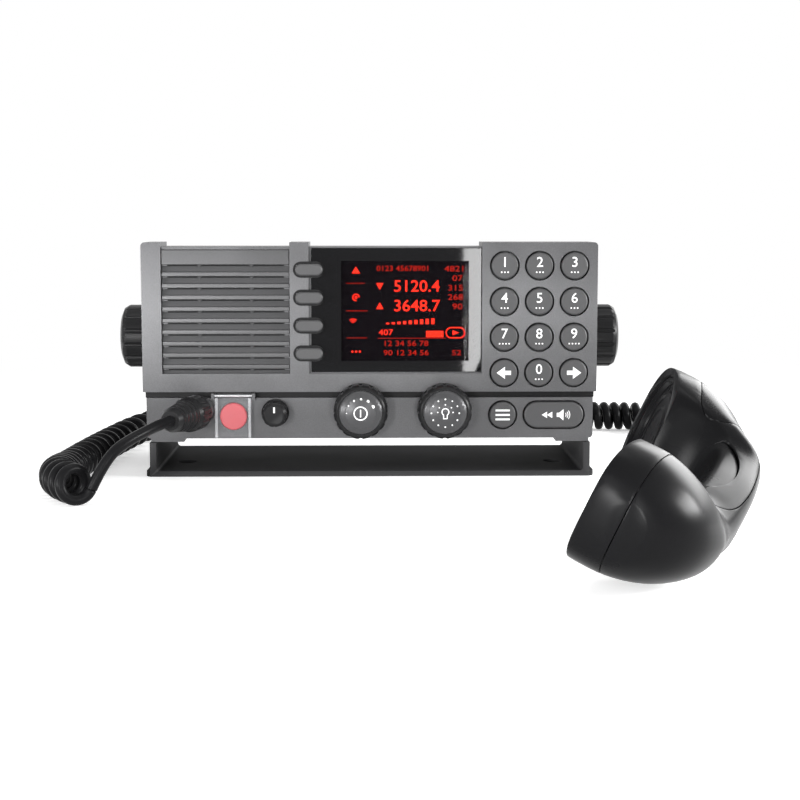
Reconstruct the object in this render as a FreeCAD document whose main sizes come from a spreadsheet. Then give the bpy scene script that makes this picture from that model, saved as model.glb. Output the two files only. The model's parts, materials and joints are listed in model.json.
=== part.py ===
import FreeCAD, Part
import bisect
import itertools
import math
import os
import re
import Sketcher
from FreeCAD import Placement, Rotation, Vector

# A marine single-sideband radio: the control head in its bracket, with a handset on a curly cord.
# Millimetres. X runs to the right as seen from the front, Y to the back and Z up.
# The origin lies midway between the bracket's two screw holes, on the underside of its base.

SIZES = {
    # mounting bracket
    "base_width": 239.6,
    "base_depth": 98.0,
    "base_thickness": 3.0,
    "lip_ahead": 35.0,
    "screw_spacing": 203.0,
    "screw_hole": 5.4,
    "screw_head": 10.4,
    "arm_span": 235.2,
    "arm_thickness": 3.5,
    "shoulder_height": 18.4,
    "head_radius": 17.0,
    "arm_foot_rear": 46.0,
    "base_corner": 4.0,
    "pivot_height": 72.0,
    "pivot_back": 14.0,
    "bracket_fillet": 2.0,
    # clamp knobs
    "clamp_width": 34.6,
    "clamp_length": 20.0,
    "clamp_gap": 0.3,
    "clamp_flutes": 14,
    "clamp_flute_width": 3.2,
    "stud_width": 6.0,
    "stud_reach": 17.0,
    "running_gap": 0.05,
    # front panel
    "panel_ahead": 36.0,
    "panel_bottom": 20.7,
    "panel_top": 124.7,
    "panel_width": 241.0,
    "panel_depth": 28.0,
    "panel_wall": 3.0,
    "panel_side": 2.6,
    "panel_corner": 2.0,
    "strip_top": 42.4,
    "strip_width": 237.6,
    "strip_set_back": 0.8,
    "groove_top": 45.6,
    "groove_depth": 4.2,
    "recess_depth": 2.2,
    "recess_floor": 55.4,
    "grille_left": 110.1,
    "grille_right": 42.4,
    "middle_right": 32.3,
    "keypad_left": 59.3,
    "foot_inner": 99.3,
    "foot_outer": 116.8,
    "foot_gap": 0.3,
    "foot_depth": 12.0,
    # grille
    "slot_height": 3.2,
    "slot_pitch": 6.13,
    "slot_count": 10,
    "slot_first": 111.1,
    "grille_thickness": 2.4,
    "grille_border": 0.9,
    "seat_gap": 0.15,
    "rib_width": 2.0,
    "rib_left": 90.0,
    "rib_right": 62.5,
    "rib_depth": 1.6,
    # display
    "glass_top": 122.4,
    "glass_thickness": 1.8,
    "screen_left": 15.4,
    "screen_right": 52.4,
    "screen_low": 62.0,
    "screen_high": 115.0,
    "module_border": 4.0,
    "module_thickness": 6.0,
    # keys
    "key_width": 14.0,
    "key_opening": 15.8,
    "key_flange": 17.2,
    "key_flange_thickness": 0.9,
    "key_rise": 0.9,
    "key_edge": 0.6,
    "key_travel": 1.0,
    "key_first_x": 71.2,
    "key_first_z": 112.4,
    "key_pitch_x": 18.5,
    "key_pitch_z": 18.9,
    "mode_x": 70.6,
    "mode_z": 33.1,
    "replay_x": 97.9,
    "replay_z": 33.1,
    "replay_width": 31.6,
    "replay_height": 13.8,
    "ring_gap": 0.9,
    "soft_left": 39.3,
    "soft_right": 24.9,
    "soft_height": 6.1,
    "soft_first_z": 110.4,
    "soft_pitch_z": 14.75,
    "soft_thickness": 2.2,
    "soft_gap": 1.5,
    "soft_stem": 5.0,
    "soft_slot_gap": 0.4,
    "mat_gap": 1.3,
    "mat_thickness": 1.2,
    "board_thickness": 1.6,
    # knobs
    "knob_x": -5.0,
    "dimmer_x": 39.3,
    "knob_z": 36.0,
    "ring_width": 28.6,
    "ring_length": 13.0,
    "ring_stand_off": 0.5,
    "ring_flutes": 16,
    "ring_flute_width": 3.0,
    "cap_width": 22.8,
    "cap_dome": 3.4,
    "cap_travel": 0.8,
    "shaft_width": 6.0,
    "sleeve_width": 8.8,
    "ring_seat": 7.0,
    "encoder_width": 11.6,
    "rf_x": -50.4,
    "rf_z": 34.6,
    "rf_width": 13.0,
    "rf_length": 11.5,
    "rf_flutes": 12,
    # distress button
    "distress_x": -72.6,
    "distress_z": 32.6,
    "distress_width": 14.5,
    "distress_flange": 16.4,
    "distress_rise": 1.6,
    "cover_width": 19.4,
    "cover_low": 21.6,
    "cover_depth": 5.0,
    "cover_wall": 1.2,
    "cover_flange": 1.9,
    "cover_hinge_z": 43.7,
    "cover_hinge_out": 1.4,
    "hinge_barrel": 2.6,
    "hinge_pin": 1.2,
    "ear_width": 1.6,
    # handset plug and socket
    "plug_x": -90.4,
    "plug_z": 35.6,
    "plug_lean": 14.0,
    "collar_width": 18.4,
    "collar_length": 15.0,
    "plug_bore": 12.0,
    "boot_length": 23.0,
    "boss_rise": 5.4,
    "socket_length": 16.0,
    "boot_tip": 11.4,
    "boot_ribs": 4,
    "socket_width": 14.4,
    "collar_gap": 0.3,
    "collar_ribs": 18,
    # case and what it holds
    "case_width": 220.0,
    "case_bottom": 24.4,
    "case_top": 120.2,
    "case_depth": 55.0,
    "case_wall": 2.4,
    "flange_thickness": 2.4,
    "gasket_thickness": 0.6,
    "case_edge": 4.0,
    "washer_thickness": 3.6,
    "washer_width": 24.0,
    "insert_width": 10.0,
    "insert_length": 12.0,
    "screw_x": 113.2,
    "screw_low": 26.2,
    "screw_high": 117.0,
    "screw_shank": 3.0,
    "screw_cap": 5.4,
    "screw_length": 11.0,
    "boss_width": 6.6,
    "speaker_width": 57.0,
    "magnet_width": 32.0,
    "speaker_depth": 19.0,
    "speaker_z": 85.0,
    "fin_height": 3.0,
    "fin_width": 2.4,
    "fin_pitch": 9.0,
    "fin_count": 5,
    "port_x": -32.0,
    "port_z": 44.0,
    "port_width": 39.0,
    "port_height": 8.6,
    "port_reach": 6.0,
    "power_x": 30.0,
    "power_width": 14.0,
    "earth_x": 72.0,
    "earth_width": 5.0,
    # cords
    "wire_width": 5.5,
    "coil_radius": 6.5,
    "loop_radius": 7.5,
    "tight_pitch": 6.5,
    "bend_pitch": 10.5,
    "near_pitch": 8.6,
    "open_pitch": 24.0,
    "loop_pitch": 8.0,
    # handset
    "handset_yaw": 16.5,
    "handset_roll": 25.5,
    "handset_pitch": 2.6,
    "handset_x": 108.0,
    "handset_y": -234.0,
    "handset_z": 36.7,
    "ear_place": 69.0,
    "mouth_place": 71.0,
    "ear_reach": 27.0,
    "mouth_reach": 33.0,
    "ear_cup_width": 50.6,
    "mouth_cup_width": 66.4,
    "ear_lean": 10.0,
    "mouth_lean": 20.0,
    "back_height": 52.0,
    "grip_thickness": 24.0,
    "grip_width": 38.0,
    "shell_wall": 2.2,
    "seam_band": 14.0,
    "cup_rim": 4.0,
    "face_depth": 3.0,
    "sound_hole": 3.0,
    "hole_ring": 9.0,
    "talk_place": 4.0,
    "talk_width": 15.0,
    "talk_length": 44.0,
    "talk_travel": 4.0,
    "talk_gap": 0.6,
    "talk_rise": 3.0,
    "talk_pin": 2.0,
    "seam_gap": 0.15,
    "earpiece_width": 34.0,
    "earpiece_height": 9.0,
    "microphone_width": 20.0,
    "microphone_height": 8.0,
    "relief_length": 26.0,
    "relief_width": 11.0,
}

# the cords' routes on the floor and down to it, in the places that the photograph shows
COIL_ROUTE = [
    (-140, -124), (-145.5, -116), (-151, -106), (-155, -94), (-156.5, -76), (-155, -40), (-151, 10), (-146, 62),
    (-139, 106), (-127, 139), (-102, 153), (-50, 156), (10, 155), (70, 156), (125, 155), (163, 154), (183, 149),
    (193, 135), (196, 112), (195, 80), (193, 35), (190, -15), (189, -58),
]
LEAD_ROUTE = [(-110.5, -102, 33.2), (-117.8, -110.8, 29.8), (-124.5, -116.5, 25)]
LEAD_START = 11.0
LEAD_END = 7.0
ARC_SHARE = 0.45
FIRST_CURL = -18.0
CURL_STEPS = 36
COIL_SIDES = 6
GAP_CELL = 12.0

# the handset's form: how high its sections are widest, how full they are below that, and how its cord leaves
WIDEST = 0.4
FACE_POWER = 0.62
SECTION_POINTS = 16
HAND_REACH = 160.0
RELIEF_LEAN = math.radians(28)
RELIEF_SEAT = 6.0
PIVOT_BOSS = 3.0

FACE = Rotation(Vector(1, 0, 0), 90)
SIDE = Rotation(Vector(0, 1, 0), 90)

doc = FreeCAD.newDocument("radio")
sheet = doc.addObject("Spreadsheet::Sheet", "sizes")
for row, (alias, number) in enumerate(SIZES.items(), start=1):
    sheet.set(f"A{row}", alias)
    sheet.set(f"B{row}", str(number))
    sheet.setAlias(f"B{row}", alias)
doc.recompute()
nodes = []


def size(alias):
    """A driving dimension, read from the sheet."""
    return float(sheet.get(alias))


def formula(text):
    """Puts the sheet's name before each alias of a formula that is written in plain words."""
    return re.sub(r"[a-z][a-z_]*", lambda m: "sizes." + m[0] if m[0] in SIZES else m[0], str(text))


def bind(item, prop, text):
    item.setExpression(prop, formula(text))


def place(item, x="0", y="0", z="0", turn=None):
    """Puts an item at a place given by formulas, turned by a fixed rotation."""
    if turn is not None:
        item.Placement = Placement(Vector(), turn)
    for axis, text in zip("xyz", (x, y, z)):
        bind(item, f"Placement.Base.{axis}", text)


def on_face(item, x="0", z="0", out="0"):
    """Puts an item on the panel's face: local Z points out at the viewer, local Y up."""
    place(item, x, f"-panel_ahead - ({out})", z, FACE)


def node(item, label):
    """Names a finished sub-part."""
    item.Label = label
    nodes.append(item)
    return item


def body(label):
    return node(doc.addObject("PartDesign::Body", label), label)


def origin_plane(part, role):
    return next(f for f in part.Origin.OriginFeatures if f.Role == role)


def sketch(part, role="XY_Plane", at="0"):
    """An empty sketch on one of the body's own origin planes, moved along its normal by a formula."""
    item = part.newObject("Sketcher::SketchObject", "outline")
    item.AttachmentSupport = [(origin_plane(part, role), "")]
    item.MapMode = "FlatFace"
    bind(item, "AttachmentOffset.Base.z", at)
    return item


def fix(item, kind, *where, text):
    """Adds one dimension to a sketch and ties it to a formula."""
    number = item.addConstraint(Sketcher.Constraint(kind, *where, 1.0))
    bind(item, f"Constraints[{number}]", text)


def polygon(item, points):
    """A closed outline of straight sides, each corner tied to its two formulas."""
    first = item.GeometryCount
    count = len(points)
    for k in range(count):
        a = 2 * math.pi * k / count
        b = 2 * math.pi * (k + 1) / count
        start = Vector(9 * math.cos(a), 9 * math.sin(a), 0)
        end = Vector(9 * math.cos(b), 9 * math.sin(b), 0)
        item.addGeometry(Part.LineSegment(start, end), False)
    for k, (x, y) in enumerate(points):
        following = first + (k + 1) % count
        item.addConstraint(Sketcher.Constraint("Coincident", first + k, 2, following, 1))
        fix(item, "DistanceX", -1, 1, first + k, 1, text=x)
        fix(item, "DistanceY", -1, 1, first + k, 1, text=y)


def rectangle(item, left, low, right, high):
    polygon(item, [(left, low), (right, low), (right, high), (left, high)])


def circle(item, x, y, width):
    number = item.addGeometry(Part.Circle(Vector(1, 1, 0), Vector(0, 0, 1), 2), False)
    fix(item, "DistanceX", -1, 1, number, 3, text=x)
    fix(item, "DistanceY", -1, 1, number, 3, text=y)
    fix(item, "Diameter", number, text=width)


def pill(item, left, low, right, high):
    """An outline with two straight sides and half-round ends."""
    up = Vector(0, 0, 1)
    quarter = math.pi / 2
    west = item.addGeometry(Part.ArcOfCircle(Part.Circle(Vector(-5, 0, 0), up, 2), quarter, -quarter), False)
    east = item.addGeometry(Part.ArcOfCircle(Part.Circle(Vector(5, 0, 0), up, 2), -quarter, quarter), False)
    floor = item.addGeometry(Part.LineSegment(Vector(-5, -2, 0), Vector(5, -2, 0)), False)
    roof = item.addGeometry(Part.LineSegment(Vector(5, 2, 0), Vector(-5, 2, 0)), False)
    item.addConstraint(Sketcher.Constraint("Equal", west, east))
    for line, end, arc, tip in ((floor, 1, west, 2), (floor, 2, east, 1), (roof, 1, east, 2), (roof, 2, west, 1)):
        item.addConstraint(Sketcher.Constraint("Tangent", arc, tip, line, end))
    radius = f"(({high}) - ({low})) / 2"
    fix(item, "Radius", west, text=radius)
    fix(item, "DistanceX", -1, 1, west, 3, text=f"({left}) + {radius}")
    fix(item, "DistanceY", -1, 1, west, 3, text=f"({low}) + {radius}")
    fix(item, "DistanceX", -1, 1, east, 3, text=f"({right}) - {radius}")
    fix(item, "DistanceY", -1, 1, east, 3, text=f"({low}) + {radius}")


def pad(part, item, length, back=False):
    """Raises a sketch into material."""
    feature = part.newObject("PartDesign::Pad", "raised")
    feature.Profile = item
    feature.Reversed = back
    bind(feature, "Length", length)
    return feature


def pocket(part, item, depth, out=False):
    """Cuts a sketch into the solid, down from its plane, or outwards."""
    feature = part.newObject("PartDesign::Pocket", "cut")
    feature.Profile = item
    feature.Reversed = out
    bind(feature, "Length", depth)
    return feature


def turned(part, points):
    """A turned form: an outline of (radius, height) corners about the body's own Z axis."""
    item = sketch(part, "XZ_Plane")
    polygon(item, points)
    feature = part.newObject("PartDesign::Revolution", "turned")
    feature.Profile = item
    feature.ReferenceAxis = (item, ["V_Axis"])
    feature.Angle = 360
    return feature


def around(part, feature, count):
    """Repeats a feature about the body's Z axis."""
    pattern = part.newObject("PartDesign::PolarPattern", "around")
    pattern.Originals = [feature]
    pattern.Axis = (next(f for f in part.Origin.OriginFeatures if f.Role == "Z_Axis"), [""])
    pattern.Angle = 360
    bind(pattern, "Occurrences", count)
    part.Tip = pattern
    return pattern


def along(part, feature, role, length, count):
    """Repeats a feature in a straight row."""
    pattern = part.newObject("PartDesign::LinearPattern", "row")
    pattern.Originals = [feature]
    pattern.Direction = (next(f for f in part.Origin.OriginFeatures if f.Role == role), [""])
    pattern.Reversed = True
    bind(pattern, "Length", length)
    bind(pattern, "Occurrences", count)
    part.Tip = pattern
    return pattern


def soften(part, radius, chosen, kind="PartDesign::Fillet"):
    """Rounds or chamfers the edges of the tip that a test picks."""
    doc.recompute()
    tip = part.Tip
    names = [f"Edge{k}" for k, edge in enumerate(tip.Shape.Edges, start=1) if chosen(edge)]
    if not names:
        raise ValueError(f"no edge to soften on {part.Label}")
    feature = part.newObject(kind, "edge")
    feature.Base = (tip, names)
    bind(feature, "Radius" if kind.endswith("Fillet") else "Size", radius)
    return feature


def level(edge, height, slack=0.01):
    """Whether an edge lies flat at a height along local Z."""
    box = edge.BoundBox
    return abs(box.ZMin - height) < slack and abs(box.ZMax - height) < slack


def mounting_bracket():
    """A base plate with countersunk screw holes, and two arms whose heads carry the tilt studs."""
    part = body("mounting_bracket")
    plate = sketch(part)
    rectangle(plate, "-base_width / 2", "-lip_ahead", "base_width / 2", "base_depth - lip_ahead")
    pad(part, plate, "base_thickness")
    soften(part, "base_corner", lambda e: e.BoundBox.ZLength > 2)
    rear = "base_depth - lip_ahead"
    for side in ("-1", "1"):
        arm = sketch(part, "YZ_Plane", f"{side} * arm_span / 2 - ({side} + 1) / 2 * arm_thickness")
        polygon(arm, [
            ("-lip_ahead", "0"),
            (rear, "0"),
            (rear, "base_thickness + 6"),
            ("arm_foot_rear", "shoulder_height"),
            ("pivot_back + head_radius", "pivot_height"),
            ("pivot_back + head_radius * 0.72", "pivot_height + head_radius * 0.72"),
            ("pivot_back", "pivot_height + head_radius"),
            ("pivot_back - head_radius * 0.72", "pivot_height + head_radius * 0.72"),
            ("pivot_back - head_radius", "pivot_height"),
            ("pivot_back - head_radius", "shoulder_height"),
            ("-lip_ahead", "shoulder_height"),
        ])
        pad(part, arm, "arm_thickness")
    doc.recompute()
    holes = sketch(part, "XY_Plane", "base_thickness")
    circle(holes, "-screw_spacing / 2", "0", "screw_hole")
    circle(holes, "screw_spacing / 2", "0", "screw_hole")
    pocket(part, holes, "base_thickness")
    doc.recompute()
    top = size("base_thickness")
    rims = lambda e: level(e, top) and isinstance(e.Curve, Part.Circle) and e.Curve.Radius < 4
    soften(part, "(screw_head - screw_hole) / 2", rims, "PartDesign::Chamfer")
    pivots = sketch(part, "YZ_Plane", "arm_span / 2 + 1")
    circle(pivots, "pivot_back", "pivot_height", "stud_width + 2 * running_gap")
    pocket(part, pivots, "arm_span + 2")
    high = size("shoulder_height")
    near_head = lambda e: e.BoundBox.ZMin > high + 8 and e.BoundBox.XLength > 2 and e.BoundBox.ZLength < 0.01
    soften(part, "head_radius * 0.3", near_head)
    inner = size("arm_span") / 2 - size("arm_thickness")
    foot = lambda e: level(e, top) and e.BoundBox.XLength < 0.01 and abs(abs(e.BoundBox.XMin) - inner) < 0.01
    soften(part, "bracket_fillet", foot)
    return part


def clamp_knobs():
    """A fluted grip with a domed end and a threaded stud, one for each arm."""
    for name, side, turn in (("clamp_knob_left", -1, -90), ("clamp_knob_right", 1, 90)):
        part = body(name)
        turned(part, [
            ("0", "-arm_thickness - washer_thickness - stud_reach"),
            ("stud_width / 2", "-arm_thickness - washer_thickness - stud_reach"),
            ("stud_width / 2", "clamp_gap"),
            ("clamp_width / 2 - 3", "clamp_gap"),
            ("clamp_width / 2", "clamp_gap + 2.4"),
            ("clamp_width / 2", "clamp_length - 4"),
            ("clamp_width / 2 - 1.6", "clamp_length - 1.4"),
            ("clamp_width / 2 - 5", "clamp_length"),
            ("0", "clamp_length"),
        ])
        flute = sketch(part, "XY_Plane", "clamp_length + 1")
        circle(flute, "clamp_width / 2 + clamp_flute_width * 0.2", "0", "clamp_flute_width")
        cut = pocket(part, flute, "clamp_length - 1.6")
        around(part, cut, "clamp_flutes")
        place(part, f"{side} * arm_span / 2", "pivot_back", "pivot_height", Rotation(Vector(0, 1, 0), turn))


def front_panel():
    """The moulded bezel: raised bars that wrap over the top, recesses for grille and glass, and a lower strip."""
    part = body("front_panel")
    on_face(part)
    main = sketch(part, at="-panel_depth")
    rectangle(main, "-panel_width / 2", "groove_top", "panel_width / 2", "panel_top")
    pad(part, main, "panel_depth")
    neck = sketch(part, at="-panel_depth")
    rectangle(neck, "-strip_width / 2 + 1", "strip_top - 1", "strip_width / 2 - 1", "groove_top + 1")
    pad(part, neck, "panel_depth - groove_depth")
    strip = sketch(part, at="-panel_depth")
    rectangle(strip, "-strip_width / 2", "panel_bottom", "strip_width / 2", "strip_top")
    pad(part, strip, "panel_depth - strip_set_back")
    corners = lambda e: e.BoundBox.ZLength > 20 and (
        e.BoundBox.YMin > size("panel_top") - 1 or e.BoundBox.YMax < size("panel_bottom") + 1)
    soften(part, "panel_corner", corners)
    feet = sketch(part, at="-foot_depth - 2")
    for side in ("-1", "1"):
        inner, outer = (f"-foot_outer", f"-foot_inner") if side == "-1" else ("foot_inner", "foot_outer")
        rectangle(feet, inner, "shoulder_height + foot_gap", outer, "panel_bottom + 1")
    pad(part, feet, "foot_depth")
    doc.recompute()
    for left, right in (("-grille_left", "-grille_right"), ("-middle_right", "keypad_left")):
        recess = sketch(part)
        rectangle(recess, left, "recess_floor", right, "panel_top + 1")
        pocket(part, recess, "recess_depth")
        over = sketch(part, at="1")
        rectangle(over, left, "panel_top - recess_depth", right, "panel_top + 1")
        pocket(part, over, "panel_depth + 2")
    inside = sketch(part, at="-panel_depth")
    rectangle(inside, "-strip_width / 2 + panel_side", "panel_bottom + panel_side",
              "strip_width / 2 - panel_side", "panel_top - recess_depth - panel_side")
    pocket(part, inside, "panel_depth - panel_wall - recess_depth", out=True)
    key_room = "foot_gap + key_flange_thickness + key_travel + 1"
    room = sketch(part, at=f"-panel_wall - recess_depth - ({key_room})")
    rectangle(room, "keypad_left", "groove_top + 1", "panel_width / 2 - panel_side", "panel_top - panel_side")
    pocket(part, room, key_room, out=True)
    doc.recompute()
    speaker = sketch(part)
    rectangle(speaker, "-grille_left + 3", "recess_floor + 1.5", "-grille_right - 3", "slot_first + slot_height")
    screen = sketch(part)
    rectangle(screen, "-screen_left - 2", "screen_low - 2", "screen_right + 2", "screen_high + 2")
    for opening in (speaker, screen):
        pocket(part, opening, "panel_wall + recess_depth + 1")
    seats = sketch(part, at="-recess_depth")
    rectangle(seats, "-grille_left", "recess_floor", "-grille_right", "panel_top - recess_depth - 1.5")
    pocket(part, seats, "grille_thickness / 2")
    glass = sketch(part, at="-recess_depth")
    rectangle(glass, "-middle_right + 1.1", "recess_floor + 0.6", "keypad_left - 0.2", "glass_top - 0.6")
    pocket(part, glass, "glass_thickness / 2")
    deep = "panel_wall + recess_depth + 1"
    keys = sketch(part)
    for column in range(3):
        for row in range(4):
            x = f"key_first_x + {column} * key_pitch_x"
            z = f"key_first_z - {row} * key_pitch_z"
            circle(keys, x, z, "key_opening")
    pocket(part, keys, deep)
    lower = sketch(part)
    circle(lower, "mode_x", "mode_z", "key_opening")
    circle(lower, "knob_x", "knob_z", "sleeve_width + 0.4")
    circle(lower, "dimmer_x", "knob_z", "sleeve_width + 0.4")
    circle(lower, "rf_x", "rf_z", "sleeve_width + 0.4")
    circle(lower, "distress_x", "distress_z", "distress_width + 0.6")
    pocket(part, lower, deep)
    replay = sketch(part)
    pill(replay, "replay_x - replay_width / 2 - ring_gap", "replay_z - replay_height / 2 - ring_gap",
         "replay_x + replay_width / 2 + ring_gap", "replay_z + replay_height / 2 + ring_gap")
    pocket(part, replay, deep)
    stems = sketch(part)
    for row in range(4):
        middle = f"soft_first_z - {row} * soft_pitch_z"
        rectangle(stems, "-soft_left + 0.5 - soft_slot_gap", f"{middle} - soft_stem / 2 - soft_slot_gap",
                  "-soft_left + 0.5 + soft_stem + soft_slot_gap", f"{middle} + soft_stem / 2 + soft_slot_gap")
    pocket(part, stems, deep)
    inlet = sketch(part)
    inlet.AttachmentOffset = Placement(Vector(), Rotation(Vector(0, 1, 0), -size("plug_lean")))
    bind(inlet, "AttachmentOffset.Base.x", "plug_x")
    bind(inlet, "AttachmentOffset.Base.y", "plug_z")
    circle(inlet, "0", "0", "socket_width + 0.3")
    through = pocket(part, inlet, "2 * (panel_wall + recess_depth + 5)")
    through.Midplane = True
    bosses = sketch(part, at="-panel_depth")
    for x in ("-screw_x", "screw_x"):
        for z in ("screw_low", "screw_high"):
            circle(bosses, x, z, "boss_width")
    pad(part, bosses, "screw_length + 6")
    threads = sketch(part, at="-panel_depth")
    for x in ("-screw_x", "screw_x"):
        for z in ("screw_low", "screw_high"):
            circle(threads, x, z, "screw_shank + 0.1")
    pocket(part, threads, "screw_length", out=True)
    for side in ("-distress_x + cover_width / 2 + 0.2", "distress_x + cover_width / 2 + 0.2"):
        start = f"-({side}) - ear_width" if side.startswith("-") else side
        ear = sketch(part, "YZ_Plane", start)
        rectangle(ear, "strip_top - 1", "-groove_depth - 0.5",
                  "cover_hinge_z + hinge_barrel / 2", "cover_hinge_out + hinge_barrel / 2")
        pad(part, ear, "ear_width")
    pivot = sketch(part, "YZ_Plane", "distress_x + cover_width / 2 + ear_width + 1")
    circle(pivot, "cover_hinge_z", "cover_hinge_out", "hinge_pin + 2 * running_gap")
    pocket(part, pivot, "cover_width + 2 * ear_width + 2")
    return part


def speaker_grille():
    """A separate grille: a plate with a row of slots and two ribs behind them."""
    part = body("speaker_grille")
    on_face(part)
    left = "-grille_left + seat_gap"
    right = "-grille_right - seat_gap"
    back = "recess_depth + grille_thickness / 2"
    plate = sketch(part, at=f"-({back})")
    rectangle(plate, left, "recess_floor + seat_gap", right, "panel_top - recess_depth - 1.5 - seat_gap")
    pad(part, plate, "grille_thickness")
    slot = sketch(part)
    rectangle(slot, "-grille_left + grille_border", "slot_first - slot_height / 2",
              "-grille_right - grille_border", "slot_first + slot_height / 2")
    cut = pocket(part, slot, f"{back} + 1")
    along(part, cut, "Y_Axis", "slot_pitch * (slot_count - 1)", "slot_count")
    ribs = sketch(part, at=f"-({back}) - rib_depth")
    for place_x in ("-rib_left", "-rib_right"):
        edges = (f"{place_x} - rib_width / 2", f"{place_x} + rib_width / 2")
        rectangle(ribs, edges[0], "recess_floor + 2.5", edges[1], "slot_first + 2")
    pad(part, ribs, "rib_depth + 0.6")


def loudspeaker():
    """A frame with its magnet behind the grille, and the paper cone that sits in its rim."""
    middle = "-(grille_left + grille_right) / 2"
    wall = "-(panel_wall + recess_depth)"
    frame = body("loudspeaker_frame")
    on_face(frame, middle, "speaker_z", wall)
    flange = sketch(frame, at="-1.6")
    rectangle(flange, "-speaker_width / 2 - 4.5", "-speaker_width / 2 - 2.5",
              "speaker_width / 2 + 4.5", "speaker_width / 2 + 2.5")
    circle(flange, "0", "0", "speaker_width - 4")
    pad(frame, flange, "1.6")
    turned(frame, [
        ("speaker_width / 2 - 2.5", "0"),
        ("speaker_width / 2", "0"),
        ("speaker_width / 2", "-2.2"),
        ("magnet_width / 2", "-speaker_depth * 0.63"),
        ("magnet_width / 2", "-speaker_depth"),
        ("0", "-speaker_depth"),
        ("0", "-speaker_depth * 0.66"),
        ("magnet_width / 2 - 2.5", "-speaker_depth * 0.66"),
        ("speaker_width / 2 - 2.5", "-2.2"),
    ])
    cone = body("loudspeaker_cone")
    on_face(cone, middle, "speaker_z", wall)
    rim = "speaker_width / 2 - 2.5 - seat_gap"
    turned(cone, [
        (rim, "-0.6"),
        (rim, "-2.2"),
        ("magnet_width / 4", "-speaker_depth * 0.56"),
        ("0", "-speaker_depth * 0.42"),
        ("0", "-speaker_depth * 0.36"),
        ("magnet_width / 4", "-speaker_depth * 0.49"),
        (f"{rim} - 2", "-1.3"),
        (f"{rim} - 2", "-0.6"),
    ])


def display():
    """The glass in its rebate, and the display module against the panel's inner wall."""
    window = body("display_window")
    on_face(window)
    plate = sketch(window, at="-recess_depth - glass_thickness / 2")
    rectangle(plate, "-middle_right + 1.1 + seat_gap", "recess_floor + 0.6 + seat_gap",
              "keypad_left - 0.2 - seat_gap", "glass_top - 0.6 - seat_gap")
    pad(window, plate, "glass_thickness")
    module = body("display_module")
    on_face(module)
    case = sketch(module, at="-panel_wall - recess_depth - module_thickness")
    rectangle(case, "-screen_left - module_border", "screen_low - module_border",
              "screen_right + module_border", "screen_high + module_border")
    pad(module, case, "module_thickness")
    raised = sketch(module, at="-panel_wall - recess_depth")
    rectangle(raised, "-screen_left", "screen_low", "screen_right", "screen_high")
    pad(module, raised, "panel_wall - glass_thickness / 2 - seat_gap")


def button(label, x, z, draw, flange, rise, width_edge):
    """A button with a flange that keeps it behind the panel; its face stands a little proud."""
    part = body(label)
    on_face(part, x, z)
    skirt = sketch(part, at="-panel_wall - recess_depth - foot_gap - key_flange_thickness")
    flange(skirt)
    pad(part, skirt, "key_flange_thickness")
    stem = sketch(part, at="-panel_wall - recess_depth - foot_gap - key_flange_thickness / 2")
    draw(stem)
    pad(part, stem, f"panel_wall + recess_depth + foot_gap + key_flange_thickness / 2 + ({rise})")
    doc.recompute()
    top = max(edge.BoundBox.ZMax for edge in part.Tip.Shape.Edges)
    soften(part, width_edge, lambda e: level(e, top), "PartDesign::Chamfer")
    return part


def keys():
    """Twelve number keys, the mode key below them and the wide replay key."""
    def face(item):
        circle(item, "0", "0", "key_width")

    def skirt(item):
        rectangle(item, "-key_flange / 2", "-key_flange / 2", "key_flange / 2", "key_flange / 2")

    names = ["1", "2", "3", "4", "5", "6", "7", "8", "9", "left", "0", "right"]
    for place_number, name in enumerate(names):
        row, column = divmod(place_number, 3)
        x = f"key_first_x + {column} * key_pitch_x"
        z = f"key_first_z - {row} * key_pitch_z"
        button(f"key_{name}", x, z, face, skirt, "key_rise", "key_edge")
    button("key_mode", "mode_x", "mode_z", face, skirt, "key_rise - strip_set_back", "key_edge")

    def wide(item):
        pill(item, "-replay_width / 2", "-replay_height / 2", "replay_width / 2", "replay_height / 2")

    def wide_skirt(item):
        pill(item, "-replay_width / 2 - 1.6", "-replay_height / 2 - 1.6",
             "replay_width / 2 + 1.6", "replay_height / 2 + 1.6")

    button("key_replay", "replay_x", "replay_z", wide, wide_skirt, "key_rise - strip_set_back", "key_edge")


def soft_keys():
    """Four pills in front of the middle bar, each on a stem that runs through it."""
    for row in range(4):
        part = body(f"soft_key_{row + 1}")
        on_face(part, "0", f"soft_first_z - {row} * soft_pitch_z")
        skirt = sketch(part, at="-panel_wall - recess_depth - foot_gap - key_flange_thickness")
        rectangle(skirt, "-soft_left - 0.6", "-soft_stem / 2 - 1.2",
                  "-soft_left + soft_stem + 1.6", "soft_stem / 2 + 1.2")
        pad(part, skirt, "key_flange_thickness")
        stem = sketch(part, at="-panel_wall - recess_depth - foot_gap - key_flange_thickness / 2")
        rectangle(stem, "-soft_left + 0.5", "-soft_stem / 2", "-soft_left + 0.5 + soft_stem", "soft_stem / 2")
        pad(part, stem, "panel_wall + recess_depth + foot_gap + key_flange_thickness / 2 + soft_gap + 0.5")
        cap = sketch(part, at="soft_gap")
        pill(cap, "-soft_left", "-soft_height / 2", "-soft_right", "soft_height / 2")
        pad(part, cap, "soft_thickness")
        doc.recompute()
        top = size("soft_gap") + size("soft_thickness")
        soften(part, "key_edge", lambda e: level(e, top), "PartDesign::Chamfer")


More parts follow.
